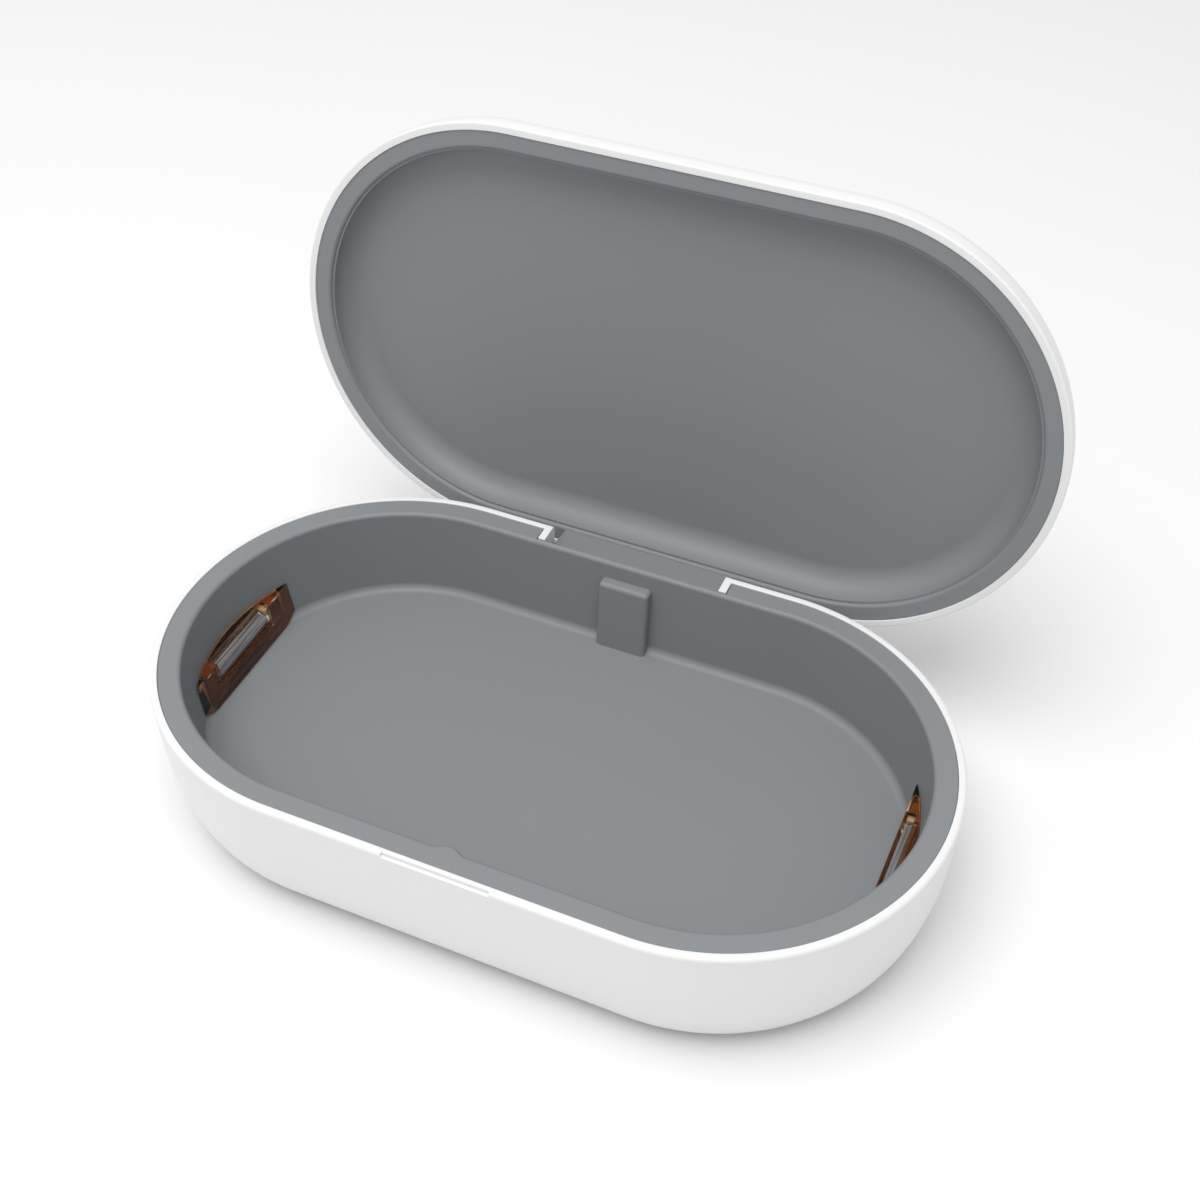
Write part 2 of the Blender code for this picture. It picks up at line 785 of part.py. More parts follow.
def make_lamp(side, sign, glass, ceramic, bright):
    x, z = lamp_centre(sign)
    grip = lamp_half_length - holder_grip
    rod(f"lamp_tube_{side}", lamp_radius, (x, -lamp_half_length, z), (x, lamp_half_length, z),
        glass, sides=20)
    low, high = bay_corners(sign)
    inner_x = window_hollow_x + fit_gap
    x_ends = sorted((sign * inner_x, sign * (inner_x + holder_depth)))
    for end, way in (("front", -1), ("rear", 1)):
        y = sorted((way * grip, way * (grip + holder_length)))
        holder = block(
            f"lamp_holder_{side}_{end}", (x_ends[0], y[0], low[2] + fit_gap),
            (x_ends[1], y[1], high[2] - fit_gap), ceramic, rounding=holder_grip / 6,
        )
        bore = rod(
            f"lamp_holder_bore_{side}_{end}", lamp_radius + fit_gap,
            (x, way * (grip - overrun), z), (x, way * (lamp_half_length + fit_gap), z),
            None, helper=True, sides=20,
        )
        cut(holder, bore)
    start = 0 if sign > 0 else 180
    sweep = math.degrees(reflector_half_angle)
    near = lamp_radius + reflector_gap
    far = near + reflector_thickness
    sheet = arc((x, z), near, start - sweep, start + sweep, reflector_steps)
    sheet += arc((x, z), far, start + sweep, start - sweep, reflector_steps)
    extruded(f"reflector_{side}", sheet, grip - fit_gap, (1, 0, 0), (0, 0, 1), bright)


def inlet_corners(grow):
    top = floor_under - inlet_below_floor
    low_z = top - inlet_height
    mouth = side_radius(rim_height - low_z)
    half = inlet_width / 2
    return (
        (-half - grow, mouth - inlet_depth - grow, low_z - grow),
        (half + grow, mouth, top + grow),
    )


def make_inlet(look):
    low, high = inlet_corners(0)
    inlet = block("power_inlet", low, high, look, rounding=inlet_height / 3)
    wall = inlet_wall
    hollow = block(
        "inlet_hollow",
        (low[0] + wall, low[1] + inlet_depth / 4, low[2] + wall),
        (high[0] - wall, high[1] + overrun, high[2] - wall),
        None, helper=True, rounding=inlet_height / 4,
    )
    cut(inlet, hollow)
    middle = (low[2] + high[2]) / 2
    join(inlet, block(
        "inlet_tongue",
        (low[0] + wall + inlet_tongue, low[1] + inlet_depth / 8, middle - inlet_tongue / 2),
        (high[0] - wall - inlet_tongue, high[1] - inlet_tongue, middle + inlet_tongue / 2),
        None, helper=True,
    ))


def make_electronics(board_look, iron, dark, ceramic, lead_look, steel, copper):
    half_length, half_width = board_length / 2, board_width / 2
    board = block(
        "driver_board", (-half_length, -half_width, board_under), (half_length, half_width, board_face),
        board_look,
    )
    for number, (x, y) in enumerate(board_corner_places(), 1):
        cut(board, rod(
            f"board_hole_{number}", board_screw_radius + fit_gap,
            (x, y, board_under - overrun), (x, y, board_face + overrun), None, helper=True,
            sides=12,
        ))
        screw(
            f"board_screw_{number}", (x, y), board_face + fit_gap, True, board_screw_head_radius,
            board_screw_head_height, board_screw_radius, board_screw_length, steel,
        )
    seat = board_face + fit_gap
    length, width, height = transformer_size
    core = block(
        "transformer_core", (transformer_x - length / 2, -width / 2, seat),
        (transformer_x + length / 2, width / 2, seat + height), iron,
    )
    window_x = length / 2 - bobbin_flange * 2
    cut(core, block(
        "transformer_window", (transformer_x - window_x, -width, seat + bobbin_flange),
        (transformer_x + window_x, width, seat + height - bobbin_flange), None, helper=True,
    ))
    gap = fit_gap
    block(
        "transformer_coil",
        (transformer_x - window_x + gap, -width / 2 - bobbin_flange, seat + bobbin_flange + gap),
        (transformer_x + window_x - gap, width / 2 + bobbin_flange,
         seat + height - bobbin_flange - gap),
        copper, rounding=bobbin_flange / 2,
    )
    for number, way in enumerate((-1, 1), 1):
        section = [
            (0, seat), (capacitor_radius, seat),
            (capacitor_radius, seat + capacitor_height - lead_radius),
            (capacitor_radius - lead_radius, seat + capacitor_height),
            (0, seat + capacitor_height),
        ]
        turned(
            f"capacitor_{number}", section, (capacitor_x, way * capacitor_spacing / 2, 0),
            dark, sides=16,
        )
    length, width, height = chip_size
    block(
        "driver_chip", (chip_x - length / 2, -width / 2, seat),
        (chip_x + length / 2, width / 2, seat + height), dark,
    )
    length, width, height = connector_size
    for side, sign in (("left", -1), ("right", 1)):
        x = sorted((sign * connector_x, sign * (connector_x - length)))
        block(
            f"lamp_connector_{side}", (x[0], -width / 2, seat), (x[1], width / 2, seat + height),
            ceramic,
        )
        for end, way in (("front", -1), ("rear", 1)):
            route = lead_route(connector_x + fit_gap, seat + height / 2, width / 4)
            wire(
                f"lamp_lead_{side}_{end}", [(sign * x, way * y, z) for x, y, z in smooth(route)],
                lead_radius, lead_look,
            )


def lead_route(start_x, start_z, start_y):
    """From a connector along the bottom and up to the underside of a lamp's holder."""
    end_x = window_hollow_x + fit_gap + holder_depth - holder_grip
    end_y = lamp_half_length - holder_grip + holder_length / 2
    low_z = start_z - lead_drop
    return [
        (start_x, start_y, start_z), (start_x + lead_bend, start_y, start_z),
        (end_x - lead_bend, end_y, low_z), (end_x, end_y, low_z),
        (end_x, end_y, low_z + lead_bend), (end_x, end_y, bay_low),
    ]


def smooth(points, rounds=2):
    """Corner cutting, which turns a bent route into a smooth one."""
    points = [Vector(point) for point in points]
    for _ in range(rounds):
        rounder = [points[0]]
        for a, b in zip(points, points[1:]):
            rounder += [a.lerp(b, 0.25), a.lerp(b, 0.75)]
        points = rounder + [points[-1]]
    return points


def make_sensor_and_catch(board_look, steel):
    y = sensor_place()
    low_z = floor_level + liner_floor + fit_gap
    block(
        "lid_sensor", (-sensor_width / 2, y, low_z),
        (sensor_width / 2, y + sensor_thickness, sensor_hollow_top() - fit_gap), board_look,
    )
    top = flange_under - fit_gap
    front = -liner_back_radius - fit_gap
    block(
        "catch_magnet", (-magnet_width / 2, front - magnet_thickness, top - magnet_height),
        (magnet_width / 2, front, top), steel,
    )


def leaf_outline():
    inner_y = pocket_front
    top = lid_ring - fit_gap
    outline = [(rim_radius, rim_height), (flange_radius, rim_height), (flange_radius, top)]
    outline += arc((inner_y + leaf_round, top - leaf_round), leaf_round, 90, 180, 2)
    outline += [(inner_y, axis_z + barrel_radius / 3)]
    outline += arc((axis_y, axis_z), barrel_radius, 180, 360, 12)
    return outline


def make_hinge(carrier, leaf_look, steel):
    leaf = extruded(
        "hinge_leaf", leaf_outline(), leaf_half_width, (0, 1, 0), (0, 0, 1), leaf_look, carrier,
    )
    screw_y = rim_radius - hinge_screw_inset
    seat = rim_height - hinge_screw_sink
    lowest = axis_z - barrel_radius
    for side, sign in (("left", -1), ("right", 1)):
        inner_x = leaf_half_width - hinge_pin_reach
        outer_x = pocket_half_width + pocket_wall
        cut(leaf, rod(
            f"leaf_bore_{side}", hinge_pin_radius + hinge_pin_gap,
            (sign * (inner_x - fit_gap), axis_y, axis_z),
            (sign * (leaf_half_width + overrun), axis_y, axis_z),
            None, carrier, helper=True, sides=16,
        ))
        pin = rod(
            f"hinge_pin_{side}", hinge_pin_radius, (sign * inner_x, axis_y, axis_z),
            (sign * (outer_x + fit_gap), axis_y, axis_z), steel, sides=16,
        )
        if side == "left":
            cut(pin, rod(
                "hinge_pin_bore", hinge_pin_bore_radius,
                (sign * (inner_x - overrun), axis_y, axis_z),
                (sign * (outer_x + overrun), axis_y, axis_z), None, helper=True, sides=12,
            ))
        x = sign * hinge_screw_x
        cut(leaf, turned(
            f"leaf_screw_hole_{side}",
            [
                (0, lowest - overrun),
                (hinge_screw_head_radius + fit_gap, lowest - overrun),
                (hinge_screw_head_radius + fit_gap, seat),
                (hinge_screw_radius + fit_gap, seat),
                (hinge_screw_radius + fit_gap, rim_height + overrun),
                (0, rim_height + overrun),
            ],
            (x, screw_y, 0), None, carrier, helper=True, sides=16,
        ))
        length = lid_boss_top() - seat - fit_gap
        screw(
            f"hinge_screw_{side}", (x, screw_y), seat - fit_gap, False, hinge_screw_head_radius,
            hinge_screw_head_height, hinge_screw_radius, length, steel, carrier,
        )


def lid_boss_top():
    return lid_ring + flange_thickness + hinge_boss_height


def make_lid_shell(carrier, look):
    corner_centre = (rim_radius - lid_corner, lid_top - lid_corner)
    support_under = lid_ring + flange_thickness + fit_gap
    support_top = support_under + support_height
    inner_corner = lid_corner - rim_wall
    rise = math.degrees(math.asin((support_top - corner_centre[1]) / inner_corner))
    edge_centre = (rim_radius - lid_edge_round, lid_rim + lid_edge_round)
    section = [(0, lid_ceiling)]
    section += arc(corner_centre, inner_corner, 90, rise, 5)
    section += [
        (support_radius, support_top), (support_radius, support_under),
        (inner_rim_radius, support_under), (inner_rim_radius, lid_rim),
    ]
    section += arc(edge_centre, lid_edge_round, -90, 0, 2)
    section += arc(corner_centre, lid_corner, 0, 90, 8)
    section += [(0, lid_top)]
    shell = obround("lid_shell", section, look, carrier)
    screw_y = rim_radius - hinge_screw_inset
    for side, sign in (("left", -1), ("right", 1)):
        x = sign * hinge_screw_x
        room = hinge_boss_radius + fit_gap
        cut(shell, block(
            f"boss_relief_{side}", (x - room, support_radius - overrun, lid_rim + flange_thickness),
            (x + room, screw_y + room, lid_boss_top() + fit_gap), None, carrier, helper=True,
        ))
    half = magnet_width / 2 + fit_gap
    magnet_top = lid_ring + flange_thickness + magnet_height + 2 * fit_gap
    for end, sign in (("front", -1), ("rear", 1)):
        near, far = sorted((sign * (support_radius - overrun), lid_magnet_ends(sign)[sign > 0]))
        cut(shell, block(
            f"magnet_relief_{end}", (-half, near - fit_gap, lid_rim + flange_thickness),
            (half, far + fit_gap, magnet_top), None, carrier, helper=True,
        ))
    cut(shell, rod(
        "button_hole", button_radius + 2 * fit_gap + light_ring_width,
        (0, button_y, lid_ceiling - overrun), (0, button_y, lid_top + overrun),
        None, carrier, helper=True, sides=32,
    ))
    return shell


def make_lid_liner(carrier, look):
    foot_radius = lid_wall_top_radius - pan_wall_run_in
    foot_centre = (foot_radius - pan_round, pan_level - pan_round)
    ring_centre = (lid_wall_top_radius + lid_ring_round, lid_ring + lid_ring_round)
    flange_top = lid_ring + flange_thickness
    section = [(0, pan_level)]
    section += arc(foot_centre, pan_round, 90, 0, 6)
    section += arc(ring_centre, lid_ring_round, 180, 270, 4)
    section += [(flange_radius, lid_ring), (flange_radius, flange_top)]
    section += [(lid_wall_top_radius + lid_liner_wall, flange_top)]
    section += arc(foot_centre, pan_round + lid_liner_wall, 0, 90, 5)
    section += [(0, pan_back)]
    liner = obround("lid_liner", section, look, carrier)
    screw_y = rim_radius - hinge_screw_inset
    for side, sign in (("left", -1), ("right", 1)):
        x = sign * hinge_screw_x
        join(liner, rod(
            f"hinge_boss_{side}", hinge_boss_radius,
            (x, screw_y, flange_top - flange_thickness / 2), (x, screw_y, lid_boss_top()),
            None, carrier, helper=True, sides=16,
        ))
        cut(liner, rod(
            f"hinge_boss_hole_{side}", hinge_screw_radius + fit_gap / 2,
            (x, screw_y, lid_ring - overrun), (x, screw_y, lid_boss_top() + overrun),
            None, carrier, helper=True, sides=12,
        ))
    return liner


def lid_magnet_ends(sign):
    inner = lid_wall_top_radius + lid_liner_wall + fit_gap
    return sorted((sign * inner, sign * (inner + magnet_thickness)))


def make_lid_magnets(carrier, steel):
    bottom = lid_ring + flange_thickness + fit_gap
    for end, sign in (("front", -1), ("rear", 1)):
        y = lid_magnet_ends(sign)
        block(
            f"lid_magnet_{end}", (-magnet_width / 2, y[0], bottom),
            (magnet_width / 2, y[1], bottom + magnet_height), steel, carrier,
        )


def make_button(carrier, button_look, glow_look, board_look, dark, ribbon_look):
    board_low = pan_back + fit_gap
    board_high = board_low + lid_board_thickness
    block(
        "lid_board",
        (-lid_board_width / 2, button_y - lid_board_length / 2, board_low),
        (lid_board_width / 2, button_y + lid_board_length / 2, board_high),
        board_look, carrier,
    )
    switch_low = board_high + fit_gap
    switch_high = switch_low + switch_height
    half = switch_side / 2
    block(
        "button_switch", (-half, button_y - half, switch_low), (half, button_y + half, switch_high),
        dark, carrier, rounding=switch_height / 6,
    )
    top = lid_top + button_proud
    plate_under = top - button_plate
    lip_top = lid_ceiling - light_ring_flange_height - fit_gap - fit_gap
    lip_low = lip_top - button_lip_thickness
    skirt = button_radius - button_skirt
    deep = top - button_dish
    shoulder, bowl = dish_radius_shares
    button = turned(
        "start_button",
        [
            (0, switch_high + fit_gap + button_travel),
            (button_stem_radius, switch_high + fit_gap + button_travel),
            (button_stem_radius, plate_under), (skirt, plate_under), (skirt, lip_low),
            (button_radius + button_lip, lip_low), (button_radius + button_lip, lip_top),
            (button_radius, lip_top), (button_radius, top - button_edge_round),
            (button_radius - button_edge_round, top), (button_radius * shoulder, top),
            (button_radius * bowl, (top + deep * 3) / 4), (0, deep),
        ],
        (0, 0, 0), button_look, sides=32,
    )
    button.parent = carrier
    button.location = Vector((0, button_y, 0)) - carrier.location
    inner = button_radius + fit_gap
    outer = inner + light_ring_width
    flange_low = lid_ceiling - fit_gap - light_ring_flange_height
    turned(
        "light_ring",
        [
            (inner, lid_top), (outer, lid_top), (outer, lid_ceiling - fit_gap),
            (outer + light_ring_flange, lid_ceiling - fit_gap),
            (outer + light_ring_flange, flange_low), (inner, flange_low),
        ],
        (0, button_y, 0), glow_look, carrier, sides=32,
    )
    start = button_y + lid_board_length / 2 + fit_gap
    block(
        "lid_ribbon", (-ribbon_width / 2, start, board_low),
        (ribbon_width / 2, rim_radius - ribbon_end_inset, board_low + ribbon_thickness),
        ribbon_look, carrier,
    )


def main():
    clear_scene()
    white = material("white_gloss_plastic", (0.86, 0.87, 0.88), 0.28)
    grey = material("grey_satin_plastic", (0.235, 0.25, 0.262), 0.42)
    amber = material("amber_window", (0.62, 0.20, 0.04), 0.12, transmission=0.8)
    glass = material("lamp_glass", (0.55, 0.53, 0.58), 0.10, transmission=0.5)
    ceramic = material("cream_ceramic", (0.80, 0.66, 0.42), 0.45)
    bright = material("polished_sheet", (0.80, 0.80, 0.82), 0.15, 1.0)
    rubber = material("grey_rubber", (0.10, 0.10, 0.11), 0.85)
    steel = material("plated_steel", (0.62, 0.63, 0.65), 0.30, 1.0)
    board_green = material("board_laminate", (0.03, 0.16, 0.08), 0.40)
    iron = material("ferrite", (0.06, 0.06, 0.065), 0.65)
    dark = material("black_moulding", (0.03, 0.03, 0.035), 0.45)
    copper = material("winding_tape", (0.75, 0.55, 0.08), 0.40)
    lead_red = material("lead_sheath", (0.60, 0.08, 0.05), 0.50)
    glow = material("light_guide", (0.75, 0.86, 0.95), 0.25, transmission=0.3)
    ribbon = material("ribbon_film", (0.78, 0.46, 0.12), 0.35)

    lid_axis = bpy.data.objects.new("lid_axis", None)
    parts.objects.link(lid_axis)
    lid_axis.location = hinge_axis
    lid_axis.rotation_euler = (-open_angle, 0, 0)

    make_base_shell(white)
    make_bottom_cover(white)
    make_foot_pad(rubber)
    for number, place in enumerate(cover_screw_places(), 1):
        screw(
            f"cover_screw_{number}", place, shell_bottom + counterbore_depth - fit_gap, False,
            screw_head_radius, screw_head_height, screw_shank_radius, screw_shank_length, steel,
        )
    make_base_liner(grey)
    for side, sign in (("left", -1), ("right", 1)):
        make_window(side, sign, amber)
        make_lamp(side, sign, glass, ceramic, bright)
    make_inlet(steel)
    make_electronics(board_green, iron, dark, ceramic, lead_red, steel, copper)
    make_sensor_and_catch(board_green, steel)
    make_hinge(lid_axis, grey, steel)
    make_lid_shell(lid_axis, white)
    make_lid_liner(lid_axis, grey)
    make_lid_magnets(lid_axis, steel)
    make_button(lid_axis, white, glow, board_green, dark, ribbon)


main()
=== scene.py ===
import json
import math

import bmesh
import bpy
from mathutils import Matrix, Vector


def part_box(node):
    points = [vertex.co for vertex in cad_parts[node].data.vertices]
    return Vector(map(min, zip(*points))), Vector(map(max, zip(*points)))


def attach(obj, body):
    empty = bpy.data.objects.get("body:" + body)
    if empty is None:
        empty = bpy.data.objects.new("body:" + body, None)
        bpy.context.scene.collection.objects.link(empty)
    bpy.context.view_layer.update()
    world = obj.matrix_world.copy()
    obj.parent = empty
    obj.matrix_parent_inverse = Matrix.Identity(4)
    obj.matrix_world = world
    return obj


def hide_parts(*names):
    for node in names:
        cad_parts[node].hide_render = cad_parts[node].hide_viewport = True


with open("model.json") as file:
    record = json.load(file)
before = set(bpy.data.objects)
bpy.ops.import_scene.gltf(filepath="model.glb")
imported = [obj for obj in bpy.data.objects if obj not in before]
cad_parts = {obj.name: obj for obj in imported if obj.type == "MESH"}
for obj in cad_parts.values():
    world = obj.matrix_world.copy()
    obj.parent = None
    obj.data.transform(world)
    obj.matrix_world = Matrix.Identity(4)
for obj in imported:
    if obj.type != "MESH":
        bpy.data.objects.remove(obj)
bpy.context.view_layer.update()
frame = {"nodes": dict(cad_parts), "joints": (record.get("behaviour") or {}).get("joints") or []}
print("frame loaded")

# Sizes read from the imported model
shellLow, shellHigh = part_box("base_shell")
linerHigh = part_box("base_liner")[1]
windowLow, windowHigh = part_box("lamp_window_right")
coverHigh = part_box("bottom_cover")[1]
padLow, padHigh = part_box("foot_pad")
leafLow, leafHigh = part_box("hinge_leaf")
inletLow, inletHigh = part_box("power_inlet")
rimRadius = -shellLow.y
halfStraight = shellHigh.x - rimRadius
rimHeight = shellHigh.z
shellBottom = shellLow.z
ringLevel = linerHigh.z
flangeRadius = linerHigh.x - halfStraight
flangeEdge = flangeRadius + 0.0002
windowChord = windowLow.x
windowTop = windowHigh.z
fitGap = 0.0003
seamGap = 0.0004
lidDepth = 0.0160
flangeThickness = 0.0018
coverThickness = 0.0020
overrun = 0.002
floorLevel = windowLow.z - fitGap
hinge = next(joint for joint in frame["joints"] if joint["name"] == "lid_hinge")
hingeAxis = Vector(hinge["pos_m"])
openAngle = math.radians(hinge["range_deg"][1])
turnOpen = (
    Matrix.Translation(hingeAxis)
    @ Matrix.Rotation(-openAngle, 4, "X")
    @ Matrix.Translation(-hingeAxis)
)
lidRim = rimHeight + seamGap
lidTop = lidRim + lidDepth
lidRing = lidRim + (rimHeight - ringLevel)


class Number:
    def __init__(self, look, socket):
        self.look = look
        self.socket = socket

    def join(self, operation, other, swapped=False):
        first, second = (other, self) if swapped else (self, other)
        node = self.look.add("ShaderNodeMath", {"operation": operation}, {0: first, 1: second})
        return Number(self.look, node.outputs[0])

    def __add__(self, other):
        return self.join("ADD", other)

    def __radd__(self, other):
        return self.join("ADD", other, True)

    def __sub__(self, other):
        return self.join("SUBTRACT", other)

    def __rsub__(self, other):
        return self.join("SUBTRACT", other, True)

    def __mul__(self, other):
        return self.join("MULTIPLY", other)

    def __rmul__(self, other):
        return self.join("MULTIPLY", other, True)

    def __truediv__(self, other):
        return self.join("DIVIDE", other)

    def __pow__(self, other):
        return self.join("POWER", other)

    def above(self, other):
        return self.join("GREATER_THAN", other)

    def below(self, other):
        return self.join("LESS_THAN", other)

    def size(self):
        node = self.look.add("ShaderNodeMath", {"operation": "ABSOLUTE"}, {0: self})
        return Number(self.look, node.outputs[0])

    def between(self, low, high):
        node = self.look.add(
            "ShaderNodeMapRange", {"interpolation_type": "SMOOTHSTEP", "clamp": True},
            {"Value": self, "From Min": low, "From Max": high},
        )
        return Number(self.look, node.outputs[0])


class Look:
    def __init__(self, name):
        self.material = bpy.data.materials.new(name)
        self.material.use_nodes = True
        self.tree = self.material.node_tree
        self.tree.nodes.clear()
        self.output = self.add("ShaderNodeOutputMaterial")
        self.shader = self.add("ShaderNodeBsdfPrincipled")
        self.tree.links.new(self.shader.outputs[0], self.output.inputs[0])
        self.place = self.add("ShaderNodeTexCoord").outputs["Object"]

    def add(self, kind, settings=None, inputs=None):
        node = self.tree.nodes.new(kind)
        for key, value in (settings or {}).items():
            setattr(node, key, value)
        for key, value in (inputs or {}).items():
            self.feed(node.inputs[key], value)
        return node

    def feed(self, socket, value):
        if isinstance(value, Number):
            value = value.socket
        if isinstance(value, bpy.types.NodeSocket):
            self.tree.links.new(value, socket)
        else:
            socket.default_value = value

    def mapped(self, scale=(1, 1, 1), turn=(0, 0, 0), centre=(0, 0, 0)):
        node = self.add(
            "ShaderNodeMapping", {"vector_type": "POINT"},
            {"Vector": self.place, "Scale": scale, "Rotation": turn, "Location": centre},
        )
        return node.outputs[0]

    def axes(self, place=None):
        node = self.add(
            "ShaderNodeSeparateXYZ", None, {0: self.place if place is None else place},
        )
        return [Number(self, socket) for socket in node.outputs]

    def noise(self, scale, detail=2.0, roughness=0.5, place=None, distortion=0.0):
        node = self.add(
            "ShaderNodeTexNoise", {"noise_dimensions": "3D"},
            {
                "Vector": self.place if place is None else place, "Scale": scale,
                "Detail": detail, "Roughness": roughness, "Distortion": distortion,
            },
        )
        return Number(self, node.outputs[0])

    def cells(self, scale, feature="F1", place=None):
        node = self.add(
            "ShaderNodeTexVoronoi", {"feature": feature},
            {"Vector": self.place if place is None else place, "Scale": scale},
        )
        return Number(self, node.outputs["Distance"])

    def waves(self, scale, direction="X", distortion=0.0, place=None):
        node = self.add(
            "ShaderNodeTexWave", {"bands_direction": direction},
            {
                "Vector": self.place if place is None else place, "Scale": scale,
                "Distortion": distortion,
            },
        )
        return Number(self, node.outputs["Fac"])

    def blend(self, share, first, second):
        node = self.add("ShaderNodeMix", {"data_type": "RGBA"}, {0: share})
        for key, value in ((6, first), (7, second)):
            self.feed(node.inputs[key], (*value[:3], 1.0) if isinstance(value, tuple) else value)
        return node.outputs[2]

    def relief(self, height, distance, strength=1.0):
        node = self.add(
            "ShaderNodeBump", None,
            {"Height": height, "Distance": distance, "Strength": strength},
        )
        return node.outputs[0]

    def finish(self, **inputs):
        for key, value in inputs.items():
            name = key.replace("_", " ")
            self.feed(self.shader.inputs[name], value)
        return self.material


def shade(colour, share):
    return tuple(min(1.0, part * share) for part in colour)


# Looks of the plastics
def mouldedPlastic(name, set_):
    look = Look(name)
    grain = look.noise(set_["grainScale"], 3.0, 0.55)
    drift = look.noise(14.0, 2.0, 0.5)
    flow = look.noise(90.0, 3.0, 0.6)
    colour = look.blend(
        drift, shade(set_["colour"], 1 - set_["drift"]), shade(set_["colour"], 1 + set_["drift"]),
    )
    speck = look.noise(2600.0, 1.0, 0.5).above(set_["speckFrom"]) * set_["speckShare"]
    colour = look.blend(speck, colour, (*shade(set_["colour"], 0.6), 1.0))
    rough = set_["roughness"] + (drift - 0.5) * 0.08 + (grain - 0.5) * 0.06 + (flow - 0.5) * 0.04
    height = grain * set_["grainDepth"] + flow * set_["flowDepth"]
    return look.finish(
        Base_Color=colour, Roughness=rough, Normal=look.relief(height, 1.0),
        Coat_Weight=set_["coat"], Coat_Roughness=set_["coatRoughness"],
        Specular_IOR_Level=set_["specular"],
    )


whiteSettings = {
    "colour": (0.755, 0.755, 0.76), "drift": 0.006, "grainScale": 5200.0, "grainDepth": 0.0000014,
    "flowDepth": 0.000004, "roughness": 0.34, "coat": 0.12, "coatRoughness": 0.16,
    "speckFrom": 0.78, "speckShare": 0.04, "specular": 0.5,
}
greySettings = {
    "colour": (0.207, 0.220, 0.231), "drift": 0.015, "grainScale": 4200.0, "grainDepth": 0.000004,
    "flowDepth": 0.000006, "roughness": 0.5, "coat": 0.0, "coatRoughness": 0.3,
    "speckFrom": 0.74, "speckShare": 0.10, "specular": 0.42,
}
whitePlastic = mouldedPlastic("whitePlastic", whiteSettings)
greyPlastic = mouldedPlastic("greyPlastic", greySettings)


def rubberLook():
    look = Look("greyRubber")
    grain = look.noise(3800.0, 4.0, 0.6)
    pits = look.cells(900.0)
    colour = look.blend(grain, (0.075, 0.077, 0.08), (0.12, 0.122, 0.126))
    height = grain * 0.00002 + pits * 0.00003
    return look.finish(
        Base_Color=colour, Roughness=0.78 + (grain - 0.5) * 0.2, Normal=look.relief(height, 1.0),
        Specular_IOR_Level=0.3,
    )


def amberLook():
    look = Look("amberClear")
    drift = look.noise(160.0, 2.0, 0.5)
    haze = look.noise(1400.0, 3.0, 0.6)
    scratch = look.noise(900.0, 2.0, 0.5, look.mapped((1.0, 0.06, 1.0)))
    colour = look.blend(drift, (0.70, 0.36, 0.16), (0.80, 0.45, 0.22))
    rough = 0.03 + haze * 0.05 + scratch.above(0.66) * 0.05
    return look.finish(
        Base_Color=colour, Roughness=rough,
        Normal=look.relief(haze * 0.000004 + drift * 0.00001, 1.0),
        Transmission_Weight=1.0, IOR=1.49,
    )


def glassLook():
    look = Look("lampGlass")
    streak = look.noise(2300.0, 2.0, 0.55, look.mapped((1.0, 0.012, 1.0)))
    fine = look.noise(5200.0, 1.0, 0.5, look.mapped((1.0, 0.02, 1.0)))
    dust = look.noise(700.0, 3.0, 0.6)
    share = (streak - 0.5) * 1.8 + 0.5 + (fine - 0.5) * 0.7
    colour = look.blend(share.between(0.15, 0.85), (0.065, 0.058, 0.058), (0.34, 0.32, 0.33))
    along = look.axes()[1].size()
    seal = along.above(0.0124) * along.below(0.0132)
    cap = along.above(0.0132)
    colour = look.blend(cap, colour, (0.16, 0.13, 0.12, 1.0))
    colour = look.blend(seal, colour, (0.80, 0.76, 0.70, 1.0))
    return look.finish(
        Base_Color=colour, Roughness=0.16 + dust * 0.12, Coat_Weight=0.9, Coat_Roughness=0.05,
        Normal=look.relief(streak * 0.00001, 1.0), Metallic=0.25 - seal * 0.25,
    )


def holderLook():
    look = Look("holderMoulding")
    grain = look.noise(2600.0, 3.0, 0.6)
    drift = look.noise(220.0, 2.0, 0.5)
    colour = look.blend(drift, (0.30, 0.19, 0.10), (0.42, 0.28, 0.16))
    return look.finish(
        Base_Color=colour, Roughness=0.42 + (grain - 0.5) * 0.2,
        Normal=look.relief(grain * 0.00001, 1.0),
    )


def creamLook():
    look = Look("creamMoulding")
    grain = look.noise(2600.0, 3.0, 0.6)
    drift = look.noise(260.0, 2.0, 0.5)
    colour = look.blend(drift, (0.76, 0.70, 0.56), (0.84, 0.79, 0.66))
    return look.finish(
        Base_Color=colour, Roughness=0.45 + (grain - 0.5) * 0.2,
        Normal=look.relief(grain * 0.00001, 1.0),
    )


def lightGuideLook():
    look = Look("lightGuide")
    milk = look.noise(700.0, 3.0, 0.6)
    colour = look.blend(milk, (0.72, 0.80, 0.86), (0.84, 0.90, 0.94))
    return look.finish(
        Base_Color=colour, Roughness=0.3 + milk * 0.1, Transmission_Weight=0.25,
        Normal=look.relief(milk * 0.000006, 1.0), Subsurface_Weight=0.2,
        Subsurface_Radius=(0.001, 0.001, 0.001),
    )


